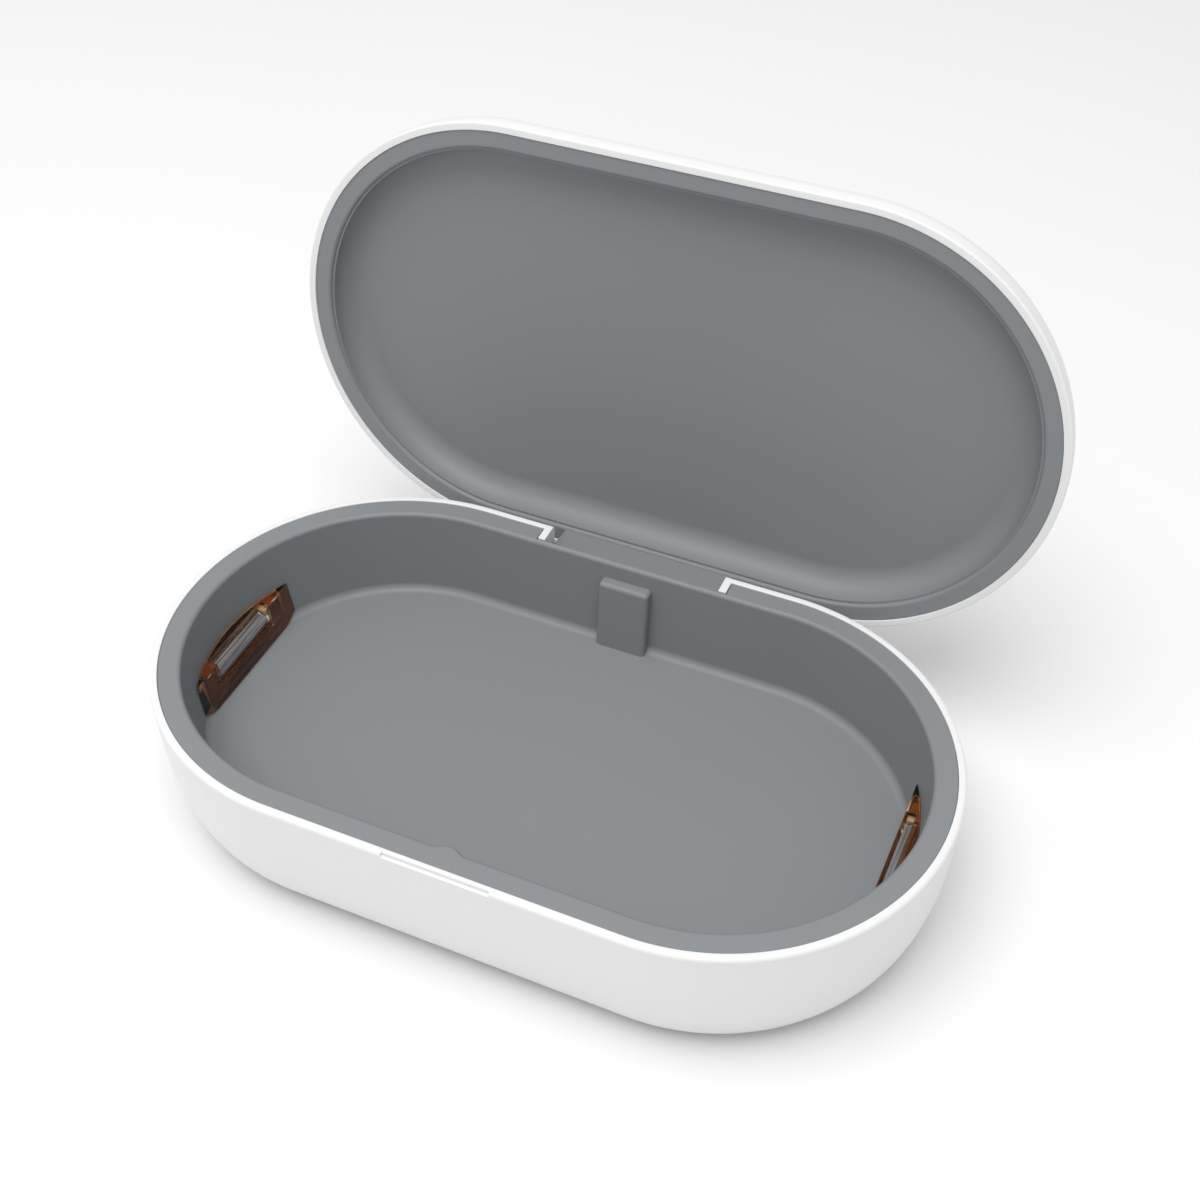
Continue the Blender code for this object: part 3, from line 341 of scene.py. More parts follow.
# Looks of the metals
def metalLook(name, set_):
    look = Look(name)
    lines = look.noise(set_["lineScale"], 3.0, 0.6, look.mapped(set_["lineStretch"]))
    cloud = look.noise(300.0, 3.0, 0.6)
    spots = look.cells(1500.0)
    colour = look.blend(cloud, shade(set_["colour"], 0.9), set_["colour"])
    rough = set_["roughness"] + (lines - 0.5) * 0.22 + (cloud - 0.5) * 0.10
    height = lines * 0.000006 + spots * set_["spotDepth"]
    return look.finish(
        Base_Color=colour, Roughness=rough, Metallic=1.0, Normal=look.relief(height, 1.0),
    )


steelSettings = {
    "colour": (0.60, 0.61, 0.63), "roughness": 0.30, "lineScale": 2600.0,
    "lineStretch": (1.0, 1.0, 0.1), "spotDepth": 0.000002,
}
sheetSettings = {
    "colour": (0.82, 0.82, 0.84), "roughness": 0.20, "lineScale": 3200.0,
    "lineStretch": (1.0, 0.02, 1.0), "spotDepth": 0.0,
}
magnetSettings = {
    "colour": (0.70, 0.69, 0.66), "roughness": 0.24, "lineScale": 1800.0,
    "lineStretch": (0.2, 1.0, 1.0), "spotDepth": 0.000004,
}


# Looks of the electronics
def boardLook():
    look = Look("boardLaminate")
    weave = look.waves(420.0, "X") * look.waves(420.0, "Y")
    blocks = look.cells(170.0, "DISTANCE_TO_EDGE")
    tracks = look.cells(420.0, "DISTANCE_TO_EDGE")
    pads = look.cells(520.0)
    track = tracks.below(0.035) * blocks.above(0.03)
    pad = pads.below(0.16)
    colour = look.blend(weave, (0.012, 0.095, 0.045), (0.02, 0.125, 0.06))
    colour = look.blend(track, colour, (0.05, 0.22, 0.10, 1.0))
    colour = look.blend(pad, colour, (0.62, 0.60, 0.52, 1.0))
    height = track * 0.00003 + pad * 0.00005 + weave * 0.000004
    return look.finish(
        Base_Color=colour, Roughness=0.36 - pad * 0.08, Metallic=pad * 0.9,
        Normal=look.relief(height, 1.0), Coat_Weight=0.3,
    )


def ferriteLook():
    look = Look("ferrite")
    grain = look.noise(2400.0, 5.0, 0.7)
    pores = look.cells(1700.0)
    colour = look.blend(grain, (0.035, 0.035, 0.04), (0.075, 0.075, 0.08))
    return look.finish(
        Base_Color=colour, Roughness=0.55 + (grain - 0.5) * 0.3,
        Normal=look.relief(grain * 0.00003 + pores * 0.00002, 1.0),
    )


def tapeLook():
    look = Look("windingTape")
    laps = look.waves(95.0, "X", 0.6)
    wrinkle = look.noise(900.0, 3.0, 0.6, look.mapped((0.3, 1.0, 1.0)))
    colour = look.blend(laps.above(0.86), (0.80, 0.55, 0.05), (0.62, 0.40, 0.03))
    return look.finish(
        Base_Color=colour, Roughness=0.28 + wrinkle * 0.2,
        Normal=look.relief(laps * 0.00006 + wrinkle * 0.00003, 1.0), Coat_Weight=0.3,
    )


def blackLook(name, gloss, ring):
    look = Look(name)
    grain = look.noise(3400.0, 4.0, 0.6)
    cloud = look.noise(400.0, 2.0, 0.5)
    colour = look.blend(cloud, (0.012, 0.012, 0.014), (0.03, 0.03, 0.033))
    if ring:
        band = look.waves(260.0, "Z").above(0.93)
        colour = look.blend(band, colour, (0.20, 0.20, 0.21, 1.0))
    return look.finish(
        Base_Color=colour, Roughness=gloss + (grain - 0.5) * 0.2,
        Normal=look.relief(grain * 0.000012, 1.0),
    )


def sheathLook():
    look = Look("leadSheath")
    grain = look.noise(2000.0, 3.0, 0.6)
    kink = look.noise(260.0, 2.0, 0.5)
    colour = look.blend(kink, (0.52, 0.05, 0.04), (0.66, 0.08, 0.06))
    return look.finish(
        Base_Color=colour, Roughness=0.42 + (grain - 0.5) * 0.15,
        Normal=look.relief(grain * 0.00001 + kink * 0.00004, 1.0),
    )


def ribbonLook():
    look = Look("ribbonFilm")
    lanes = look.waves(330.0, "X")
    film = look.noise(500.0, 3.0, 0.6)
    copper = lanes.above(0.62)
    colour = look.blend(copper, (0.62, 0.30, 0.05), (0.80, 0.46, 0.14))
    return look.finish(
        Base_Color=colour, Roughness=0.24 + film * 0.14, Coat_Weight=0.6,
        Normal=look.relief(copper * 0.00002 + film * 0.00001, 1.0),
    )


slotLooks = {
    "white_shell": whitePlastic, "grey_liner": greyPlastic, "rubber": rubberLook(),
    "amber_window": amberLook(), "lamp_glass": glassLook(), "cream_moulding": creamLook(),
    "bright_sheet": metalLook("brightSheet", sheetSettings),
    "plated_steel": metalLook("platedSteel", steelSettings),
    "magnet": metalLook("magnetPlating", magnetSettings), "board": boardLook(),
    "ferrite": ferriteLook(), "winding": tapeLook(),
    "black_moulding": blackLook("blackMoulding", 0.45, False), "light_guide": lightGuideLook(),
    "ribbon": ribbonLook(), "lead_sheath": sheathLook(),
}
holderMoulding = holderLook()
print("looks made")


# Shaping helpers
def arcPoints(centre, radius, start, end, steps):
    angles = [math.radians(start + (end - start) * k / steps) for k in range(steps + 1)]
    return [
        (centre[0] + radius * math.cos(angle), centre[1] + radius * math.sin(angle))
        for angle in angles
    ]


def filleted(corners):
    made = []
    for index, corner in enumerate(corners):
        place = Vector(corner[:2])
        radius, steps = (*corner[2:], 0, 0)[:2] if len(corner) > 2 else (0, 0)
        if not radius:
            made.append(tuple(place))
            continue
        before = (Vector(corners[index - 1][:2]) - place).normalized()
        after = (Vector(corners[(index + 1) % len(corners)][:2]) - place).normalized()
        half = before.angle(after) / 2
        reach = radius / math.tan(half)
        centre = place + (before + after).normalized() * (radius / math.sin(half))
        start = place + before * reach - centre
        end = place + after * reach - centre
        sweep = start.angle_signed(end)
        for k in range(steps + 1):
            turned = start.copy()
            turned.rotate(Matrix.Rotation(-sweep * k / steps, 2))
            made.append(tuple(centre + turned))
    return made


def sweptForm(section, steps=44, runs=((1.0, 3),)):
    form = bmesh.new()
    points = [form.verts.new((halfStraight + radius, 0, height)) for radius, height in section]
    edges = [form.edges.new(ends) for ends in zip(points, points[1:])]
    if section[0][0] > 0 or section[-1][0] > 0:
        edges.append(form.edges.new((points[-1], points[0])))
    turned = bmesh.ops.spin(
        form, geom=points + edges, cent=(halfStraight, 0, 0), axis=(0, 0, 1),
        angle=math.pi / 2, steps=steps,
    )
    last = turned["geom_last"]
    for share, count in runs:
        move = -halfStraight * share / count
        turned = bmesh.ops.spin(
            form, geom=last, cent=(0, 0, 0), axis=(0, 0, 1), dvec=(move, 0, 0), angle=0,
            steps=count,
        )
        last = turned["geom_last"]
    bmesh.ops.remove_doubles(form, verts=form.verts, dist=1e-7)
    for axis in "XY":
        bmesh.ops.mirror(
            form, geom=form.verts[:] + form.edges[:] + form.faces[:], axis=axis, merge_dist=1e-7,
        )
    bmesh.ops.remove_doubles(form, verts=form.verts, dist=1e-7)
    bmesh.ops.recalc_face_normals(form, faces=form.faces)
    return form


def blockForm(low, high, rounding=0.0, segments=3):
    low, high = Vector(low), Vector(high)
    form = bmesh.new()
    bmesh.ops.create_cube(form, size=1)
    bmesh.ops.scale(form, vec=high - low, verts=form.verts)
    bmesh.ops.translate(form, vec=(low + high) / 2, verts=form.verts)
    if rounding:
        bmesh.ops.bevel(
            form, geom=form.edges, offset=rounding, segments=segments, profile=0.5,
            affect="EDGES", material=-1,
        )
    return form


def latheForm(section, sides=96, axis="Z"):
    form = bmesh.new()
    points = [form.verts.new((radius, 0, height)) for radius, height in section]
    edges = [form.edges.new(ends) for ends in zip(points, points[1:])]
    if section[0][0] > 0 or section[-1][0] > 0:
        edges.append(form.edges.new((points[-1], points[0])))
    bmesh.ops.spin(
        form, geom=points + edges, cent=(0, 0, 0), axis=(0, 0, 1), angle=2 * math.pi,
        steps=sides, use_merge=True,
    )
    bmesh.ops.remove_doubles(form, verts=form.verts, dist=1e-7)
    turns = {"X": (math.pi / 2, "Y"), "Y": (-math.pi / 2, "X")}
    if axis in turns:
        angle, about = turns[axis]
        matrix = Matrix.Rotation(angle, 3, about)
        bmesh.ops.rotate(form, cent=(0, 0, 0), matrix=matrix, verts=form.verts)
    bmesh.ops.recalc_face_normals(form, faces=form.faces)
    return form


def outlineForm(outline, low, high):
    form = bmesh.new()
    points = [form.verts.new((low, across, up)) for across, up in outline]
    face = form.faces.new(points)
    grown = bmesh.ops.extrude_face_region(form, geom=[face])
    moved = [part for part in grown["geom"] if isinstance(part, bmesh.types.BMVert)]
    bmesh.ops.translate(form, vec=(high - low, 0, 0), verts=moved)
    bmesh.ops.recalc_face_normals(form, faces=form.faces)
    return form


def moved(form, offset):
    bmesh.ops.translate(form, vec=offset, verts=form.verts)
    return form


def opened(form):
    bmesh.ops.transform(form, matrix=turnOpen, verts=form.verts)
    return form


def meshObject(name, form):
    mesh = bpy.data.meshes.new(name)
    form.to_mesh(mesh)
    form.free()
    made = bpy.data.objects.new(name, mesh)
    bpy.context.scene.collection.objects.link(made)
    return made


def shaped(made, changes):
    # Booleans are worked out once here, and their helpers taken away again
    tools = []
    for number, (operation, form) in enumerate(changes):
        tool = meshObject(f"{made.name}Tool{number}", form)
        tools.append(tool)
        change = made.modifiers.new(f"change{number}", "BOOLEAN")
        change.operation = operation
        change.object = tool
        change.solver = "EXACT"
    bpy.context.view_layer.update()
    evaluated = made.evaluated_get(bpy.context.evaluated_depsgraph_get())
    mesh = bpy.data.meshes.new_from_object(evaluated)
    made.modifiers.clear()
    old = made.data
    made.data = mesh
    mesh.name = made.name
    bpy.data.meshes.remove(old)
    for tool in tools:
        mesh = tool.data
        bpy.data.objects.remove(tool)
        bpy.data.meshes.remove(mesh)
    return made


def finished(made, material, body, nodes, sharp=40, bevel=None):
    mesh = made.data
    mesh.materials.clear()
    mesh.materials.append(material)
    mesh.shade_smooth()
    mesh.set_sharp_from_angle(angle=math.radians(sharp))
    if bevel:
        edge = made.modifiers.new("edge", "BEVEL")
        edge.width = bevel
        edge.segments = 3
        edge.limit_method = "ANGLE"
        edge.angle_limit = math.radians(sharp)
        edge.use_clamp_overlap = True
    even = made.modifiers.new("even", "WEIGHTED_NORMAL")
    even.keep_sharp = True
    even.weight = 80
    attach(made, body)
    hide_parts(*nodes)
    return made


# White base shell, and the sizes of the liner and windows that it carries
shellSettings = {
    "wall": 0.0022, "rimRound": 0.0010, "draftShare": 0.029, "straightDepth": 0.0120,
    "bellyInset": 0.0117, "bellyPower": 2.3, "coverInset": 0.0024, "ledgeWidth": 0.0026,
    "ledgeHeight": 0.0017, "support": 0.0018, "recessHalf": 0.0145, "recessDepth": 0.0009,
    "recessHeight": 0.0012, "innerRound": 0.00025, "footRound": 0.0002,
    "sideDepths": (0.004, 0.008), "lastStep": 0.00004, "pocketGap": 0.0007,
    "pocketRound": 0.00025, "cutRound": 0.00015, "pinBore": 0.0011, "pinReach": 0.032,
    "topStep": 0.00001, "recessRound": 0.0002, "inletRound": 0.0012,
}
linerSettings = {
    "ringWidth": 0.0045, "ringRound": 0.0012, "wall": 0.0012, "floor": 0.0018,
    "runIn": 0.0024, "footRound": 0.0025, "nubProud": 0.0015, "nubInner": 0.0004,
    "nubOuter": 0.0044, "padHalf": 0.0076, "padProud": 0.0034, "padDrop": 0.0054,
    "padRound": 0.0012, "edge": 0.0001, "plainFloor": 0.030, "wallLevels": (0.036, 0.028),
    "bayHalf": 0.0185, "bayEnd": 0.0586, "bayTop": 0.0015, "reach": 0.0001,
}
windowSettings = {
    "lean": 0.0016, "height": 0.0128, "wall": 0.0012, "slotHalf": 0.0132, "slotDepth": 0.0044,
    "lip": 0.0052, "bayHalf": 0.0185, "edge": 0.00030,
}
shellDepth = rimHeight - shellBottom
innerRim = rimRadius - shellSettings["wall"]
flangeUnder = ringLevel - flangeThickness
wallTop = flangeRadius - linerSettings["ringWidth"] - linerSettings["ringRound"]
linerBack = wallTop + linerSettings["wall"]


def sideRadius(depth):
    set_ = shellSettings
    radius = rimRadius - set_["draftShare"] * depth
    if depth > set_["straightDepth"]:
        share = min(1, (depth - set_["straightDepth"]) / (shellDepth - set_["straightDepth"]))
        bulge = (1 - share ** set_["bellyPower"]) ** (1 / set_["bellyPower"])
        radius -= set_["bellyInset"] * (1 - bulge)
    return radius


def bellyDepths(count, deepest):
    run = shellDepth - shellSettings["straightDepth"]
    depths = [
        shellSettings["straightDepth"] + run * math.sin(math.pi / 2 * k / count)
        for k in range(count + 1)
    ]
    return [depth for depth in depths if depth < deepest]


def baseShell():
    set_ = shellSettings
    coverEdge = sideRadius(shellDepth) - set_["coverInset"]
    ledgeUnder = shellBottom + coverThickness + fitGap
    ledgeTop = ledgeUnder + set_["ledgeHeight"]
    supportTop = flangeUnder - fitGap
    supportUnder = supportTop - set_["support"]
    corners = [
        (innerRim, rimHeight, set_["innerRound"], 3),
        (rimRadius, rimHeight, set_["rimRound"], 8),
    ]
    outer = [*set_["sideDepths"]] + bellyDepths(52, shellDepth - set_["lastStep"])
    corners += [(sideRadius(depth), rimHeight - depth) for depth in outer]
    corners += [
        (sideRadius(shellDepth), shellBottom), (coverEdge, shellBottom, set_["footRound"], 2),
        (coverEdge, ledgeUnder), (coverEdge - set_["ledgeWidth"], ledgeUnder),
        (coverEdge - set_["ledgeWidth"], ledgeTop),
    ]
    inner = bellyDepths(16, rimHeight - ledgeTop)
    corners += [
        (sideRadius(depth) - set_["wall"], rimHeight - depth) for depth in reversed(inner)
    ]
    corners += [
        (sideRadius(rimHeight - supportUnder) - set_["wall"], supportUnder - set_["support"]),
        (innerRim - set_["support"], supportUnder), (innerRim - set_["support"], supportTop),
        (innerRim, supportTop),
    ]
    made = meshObject("baseShell", sweptForm(filleted(corners)))
    pocketHalf = leafHigh.x + fitGap * 1.5
    pocketFront = linerBack + fitGap
    pocketFloor = hingeAxis.z - (rimRadius - hingeAxis.y) - set_["pocketGap"]
    wall = set_["wall"]
    pin = set_["pinBore"]
    reach = set_["pinReach"]
    inletTop = inletHigh.z + fitGap
    changes = [
        ("UNION", blockForm(
            (-pocketHalf - wall, pocketFront, pocketFloor - wall),
            (pocketHalf + wall, rimRadius - set_["wall"] / 2, rimHeight - set_["topStep"]),
            set_["pocketRound"],
        )),
        ("DIFFERENCE", blockForm(
            (-pocketHalf, pocketFront - overrun, pocketFloor),
            (pocketHalf, rimRadius + overrun, rimHeight + overrun), set_["cutRound"],
        )),
        ("DIFFERENCE", moved(
            latheForm([(0, -reach), (pin, -reach), (pin, reach), (0, reach)], 32, "X"),
            hingeAxis,
        )),
        ("DIFFERENCE", blockForm(
            (-set_["recessHalf"], -rimRadius - overrun, rimHeight - set_["recessHeight"]),
            (set_["recessHalf"], -rimRadius + set_["recessDepth"], rimHeight + overrun),
            set_["recessRound"],
        )),
        ("DIFFERENCE", blockForm(
            (inletLow.x - fitGap, inletLow.y - fitGap, inletLow.z - fitGap),
            (inletHigh.x + fitGap, rimRadius + overrun, inletTop), set_["inletRound"], 6,
        )),
    ]
    return finished(
        shaped(made, changes), whitePlastic, "base", ["base_shell"], 38,
    )


baseShell()
print("base shell made")

# Grey cavity liner of the base
wallTopLevel = ringLevel - linerSettings["ringRound"]
wallFootLevel = floorLevel + linerSettings["footRound"]
floorUnder = floorLevel - linerSettings["floor"]


def wallRadius(level):
    share = (wallTopLevel - level) / (wallTopLevel - wallFootLevel)
    return wallTop - linerSettings["runIn"] * share


def nubRise(x):
    share = (linerSettings["nubOuter"] - abs(x)) / (
        linerSettings["nubOuter"] - linerSettings["nubInner"]
    )
    share = max(0.0, min(1.0, share))
    return linerSettings["nubProud"] * (1 - math.cos(math.pi * share)) / 2


def rearPad():
    set_ = linerSettings
    top = rimHeight - set_["padDrop"]
    foot = floorLevel - set_["floor"] / 2
    back = wallRadius(top) + set_["wall"] / 2
    front = back - set_["wall"] / 2 - set_["padProud"]
    form = blockForm((-set_["padHalf"], front, foot), (set_["padHalf"], back, top))
    lean = wallRadius(top) - wallRadius(foot)
    feet = [vert for vert in form.verts if vert.co.z < (foot + top) / 2]
    bmesh.ops.translate(form, vec=(0, -lean, 0), verts=feet)
    edges = [
        edge for edge in form.edges
        if not all(vert.co.z < (foot + top) / 2 for vert in edge.verts)
    ]
    bmesh.ops.bevel(
        form, geom=edges, offset=set_["padRound"], segments=8, profile=0.5, affect="EDGES",
        material=-1, clamp_overlap=True,
    )
    return form


def baseLiner():
    set_ = linerSettings
    footRadius = wallRadius(floorLevel)
    corners = [
        (flangeEdge, ringLevel, set_["edge"], 2), (wallTop, ringLevel, set_["ringRound"], 10),
        *((wallRadius(level), level) for level in set_["wallLevels"]),
        (footRadius, floorLevel, set_["footRound"], 10), (set_["plainFloor"], floorLevel),
        (0, floorLevel), (0, floorUnder),
        (footRadius - 2 * set_["edge"], floorUnder, set_["footRound"], 4),
        (linerBack, flangeUnder), (flangeEdge, flangeUnder),
    ]
    section = filleted(corners)
    start = next(index for index, point in enumerate(section) if point[0] == 0) + 1
    section = section[start:] + section[:start]
    form = sweptForm(section, runs=((0.8, 4), (0.1, 20), (0.1, 20)))
    reach = set_["reach"]
    for vert in form.verts:
        x, y, z = vert.co
        inside = -y <= wallRadius(z) + reach or (z > flangeUnder + reach and -y < linerBack)
        if y < -set_["plainFloor"] and inside and z > floorLevel - reach:
            vert.co.y += nubRise(x)
    made = meshObject("baseLiner", form)
    notch = leafHigh.x + fitGap * 2.5 + shellSettings["wall"]
    changes = [
        ("DIFFERENCE", blockForm(
            (-notch, linerBack, flangeUnder - overrun), (notch, rimRadius, rimHeight + overrun),
        )),
        ("UNION", rearPad()),
    ]
    for sign in (-1, 1):
        ends = sorted((
            sign * (windowChord + windowSettings["wall"]), sign * (halfStraight + set_["bayEnd"]),
        ))
        changes.append(("DIFFERENCE", blockForm(
            (ends[0], -set_["bayHalf"], wallFootLevel + fitGap),
            (ends[1], set_["bayHalf"], windowTop - set_["bayTop"]),
        )))
    return finished(
        shaped(made, changes), greyPlastic, "base", ["base_liner"], 38,
    )


baseLiner()
print("base liner made")

# White lid shell and its grey liner, built closed and then opened
buttonSettings = {
    "proud": 0.0005, "dish": 0.0004, "round": 0.00035, "plate": 0.0012, "skirt": 0.0010,
    "stem": 0.0016, "stemClear": 0.0030, "lip": 0.0010, "lipThickness": 0.0005,
    "ringWidth": 0.0012, "ringEdge": 0.00015, "flange": 0.0009, "flangeHeight": 0.0005,
    "dishFrom": 0.80,
}
lidSettings = {
    "corner": 0.0135, "edgeRound": 0.0006, "panDepth": 0.0080, "panRunIn": 0.0006,
    "panRound": 0.0070, "ringWidth": 0.0036, "ringRound": 0.0010, "linerWall": 0.0016,
    "buttonInset": 0.0310, "buttonRadius": 0.0070, "plain": 0.03, "rimEdge": 0.0002,
    "sideStep": 0.0001, "holeDepth": 0.004,
}


def lidShell():
    set_ = lidSettings
    wall = shellSettings["wall"]
    centre = (rimRadius - set_["corner"], lidTop - set_["corner"])
    under = lidRing + flangeThickness + fitGap
    top = under + shellSettings["support"]
    innerCorner = set_["corner"] - wall
    rise = math.degrees(math.asin((top - centre[1]) / innerCorner))
    section = [(0, lidTop - wall), (set_["plain"], lidTop - wall)]
    section += arcPoints(centre, innerCorner, 90, rise, 12)
    section += filleted([
        (innerRim - shellSettings["support"], top), (innerRim - shellSettings["support"], under),
        (innerRim, under), (innerRim, lidRim, set_["rimEdge"], 3),
        (rimRadius, lidRim, set_["edgeRound"], 6), (rimRadius, centre[1] - set_["sideStep"]),
    ])[:-1]
    section += arcPoints(centre, set_["corner"], 0, 90, 30)
    section += [(set_["plain"], lidTop), (0, lidTop)]
    made = meshObject("lidShell", sweptForm(section))
    hole = set_["buttonRadius"] + 2 * fitGap + buttonSettings["ringWidth"]
    low, high = lidTop - set_["holeDepth"], lidTop + overrun
    changes = [("DIFFERENCE", moved(
        latheForm([(0, low), (hole, low), (hole, high), (0, high)], 96),
        (0, set_["buttonInset"] - rimRadius, 0),
    ))]
    made = shaped(made, changes)
    made.data.transform(turnOpen)
    return finished(made, whitePlastic, "lid", ["lid_shell"], 38)


def lidLiner():
    set_ = lidSettings
    ringRound = set_["ringRound"]
    lidWallTop = flangeRadius - set_["ringWidth"] - ringRound
    panLevel = lidRing + set_["panDepth"]
    footRadius = lidWallTop - set_["panRunIn"]
    centre = (footRadius - set_["panRound"], panLevel - set_["panRound"])
    flangeTop = lidRing + flangeThickness
    section = [(0, panLevel), (set_["plain"], panLevel)]
    section += arcPoints(centre, set_["panRound"], 90, 0, 18)
    section += arcPoints((lidWallTop + ringRound, lidRing + ringRound), ringRound, 180, 270, 10)
    section += [(flangeEdge, lidRing), (flangeEdge, flangeTop)]
    section += [(lidWallTop + set_["linerWall"], flangeTop)]
    section += arcPoints(centre, set_["panRound"] + set_["linerWall"], 0, 90, 8)
    section += [(0, panLevel + set_["linerWall"])]
    made = meshObject("lidLiner", opened(sweptForm(section)))
    return finished(made, greyPlastic, "lid", ["lid_liner"], 38)


lidShell()
lidLiner()
print("lid made")


# Grey hinge leaf
leafSettings = {"topGap": 0.0001, "round": 0.0003, "edge": 0.0002}


def hingeLeaf():
    inset = rimRadius - hingeAxis.y
    inner = linerBack + fitGap
    top = lidRing - leafSettings["topGap"]
    leafRound = leafSettings["round"]
    outline = [(rimRadius, rimHeight), (flangeRadius, rimHeight), (flangeRadius, top)]
    outline += arcPoints((inner + leafRound, top - leafRound), leafRound, 90, 180, 6)
    outline += [(inner, hingeAxis.z + inset / 3)]
    outline += arcPoints((hingeAxis.y, hingeAxis.z), inset, 180, 360, 40)
    made = meshObject("hingeLeaf", opened(outlineForm(outline, leafLow.x, leafHigh.x)))
    return finished(
        made, greyPlastic, "lid", ["hinge_leaf"], 38, leafSettings["edge"],
    )


hingeLeaf()
print("hinge made")


# Amber lamp windows with their lamps


def lampWindow(side, sign):
    set_ = windowSettings
    bottom = windowLow.z
    foot = wallFootLevel
    toe = wallRadius(foot) - linerSettings["footRound"]
    inner = windowChord - halfStraight - overrun
    section = [
        (inner, windowTop), (wallRadius(windowTop) - fitGap, windowTop),
        (wallRadius(foot) - fitGap, foot), (toe - fitGap, bottom), (inner, bottom),
    ]
    form = sweptForm(section, 60)
    slope = set_["lean"] / set_["height"]
    cutting = bmesh.ops.bisect_plane(
        form, geom=form.verts[:] + form.edges[:] + form.faces[:],
        plane_co=(sign * windowChord, 0, floorLevel), plane_no=(sign, 0, -slope),
        clear_inner=True, dist=1e-7,
    )
    edges = [part for part in cutting["geom_cut"] if isinstance(part, bmesh.types.BMEdge)]
    bmesh.ops.contextual_create(form, geom=edges)
    bmesh.ops.recalc_face_normals(form, faces=form.faces)
    made = meshObject(f"lampWindow{side}", form)
    hollowX = windowChord + set_["wall"] + set_["lean"] / 2
    half = set_["bayHalf"] + set_["wall"]
    hollow = sorted((sign * hollowX, sign * (halfStraight + rimRadius)))
    slot = sorted((sign * (windowChord - overrun), sign * (windowChord + set_["slotDepth"])))
    changes = [
        ("DIFFERENCE", blockForm(
            (hollow[0], -half, foot - set_["wall"]), (hollow[1], half, windowTop - set_["wall"]),
        )),
        ("DIFFERENCE", blockForm(
            (slot[0], -set_["slotHalf"], floorLevel + set_["lip"]),
            (slot[1], set_["slotHalf"], windowTop + overrun),
        )),
    ]
    return finished(
        shaped(made, changes), slotLooks["amber_window"], "base",
        [f"lamp_window_{side.lower()}"], 30, set_["edge"],
    )


lampSettings = {
    "dome": 0.0012, "grooves": (0.0030, 0.0022), "grooveHalf": 0.0002, "grooveDepth": 0.00012,
}


def lampTube(side):
    set_ = lampSettings
    low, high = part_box(f"lamp_tube_{side.lower()}")
    radius = (high.z - low.z) / 2
    half = (high.y - low.y) / 2
    dome = set_["dome"]
    rear = []
    for inset in set_["grooves"]:
        place = half - inset
        rear += [(radius, place - set_["grooveHalf"]), (radius - set_["grooveDepth"], place)]
        rear += [(radius, place + set_["grooveHalf"])]
    rear += arcPoints((radius - dome, half - dome), dome, 0, 90, 8) + [(0, half)]
    section = [(x, -y) for x, y in reversed(rear)] + rear
    form = moved(latheForm(section, 72, "Y"), (low + high) / 2)
    made = meshObject(f"lampTube{side}", form)
    return finished(
        made, slotLooks["lamp_glass"], "base", [f"lamp_tube_{side.lower()}"], 60,
    )


for side, sign in (("Left", -1), ("Right", 1)):
    lampWindow(side, sign)
    lampTube(side)
print("lamps made")

# Underside: cover, foot pad and screws
coverSettings = {
    "boss": 0.0042, "bossHeight": 0.0020, "bore": 0.0030, "boreDepth": 0.0022,
    "shankHole": 0.0015, "padInset": 0.0110, "padGap": 0.0003, "padTop": 0.0019,
    "standoff": 0.0025, "standoffHeight": 0.0028, "standoffHole": 0.0012,
    "standoffX": 0.0380, "standoffY": 0.0190, "edge": 0.0002,
}
coverRadius = coverHigh.y
plateTop = shellBottom + coverThickness
screwBoxes = [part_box(f"cover_screw_{number}") for number in range(1, 5)]


def plainRod(radius, low, high):
    return latheForm([(0, low), (radius, low), (radius, high), (0, high)], 64)


def bottomCover():
    set_ = coverSettings
    pocket = coverRadius - set_["padInset"] + set_["padGap"]
    section = filleted([
        (0, plateTop), (coverRadius, plateTop, set_["edge"], 2),
        (coverRadius, shellBottom, set_["edge"], 3), (pocket, shellBottom, set_["edge"], 3),
        (pocket, set_["padTop"], set_["edge"], 2), (0, set_["padTop"]),
    ])
    made = meshObject("bottomCover", sweptForm(section))
    changes = []
    weld = plateTop - fitGap
    bossTop = plateTop + set_["bossHeight"]
    seat = shellBottom + set_["boreDepth"]
    mouth = set_["bore"] + set_["edge"]
    bore = [
        (0, -overrun), (mouth, -overrun), (mouth, shellBottom),
        (set_["bore"], shellBottom + set_["edge"]), (set_["bore"], seat),
        (set_["shankHole"], seat), (set_["shankHole"], bossTop + overrun), (0, bossTop + overrun),
    ]
    for low, high in screwBoxes:
        place = ((low.x + high.x) / 2, (low.y + high.y) / 2, 0)
        changes.append(("UNION", moved(plainRod(set_["boss"], weld, bossTop), place)))
        changes.append(("DIFFERENCE", moved(latheForm(bore, 64), place)))
    top = plateTop + set_["standoffHeight"]
    for across in (-1, 1):
        for along in (-1, 1):
            place = (across * set_["standoffX"], along * set_["standoffY"], 0)
            standoff = plainRod(set_["standoff"], weld, top)
            hole = plainRod(set_["standoffHole"], plateTop, top + overrun)
            changes.append(("UNION", moved(standoff, place)))
            changes.append(("DIFFERENCE", moved(hole, place)))
    return finished(
        shaped(made, changes), whitePlastic, "base", ["bottom_cover"], 38,
    )


padSettings = {"edge": 0.0003, "rib": 0.0020, "groove": 0.0005}


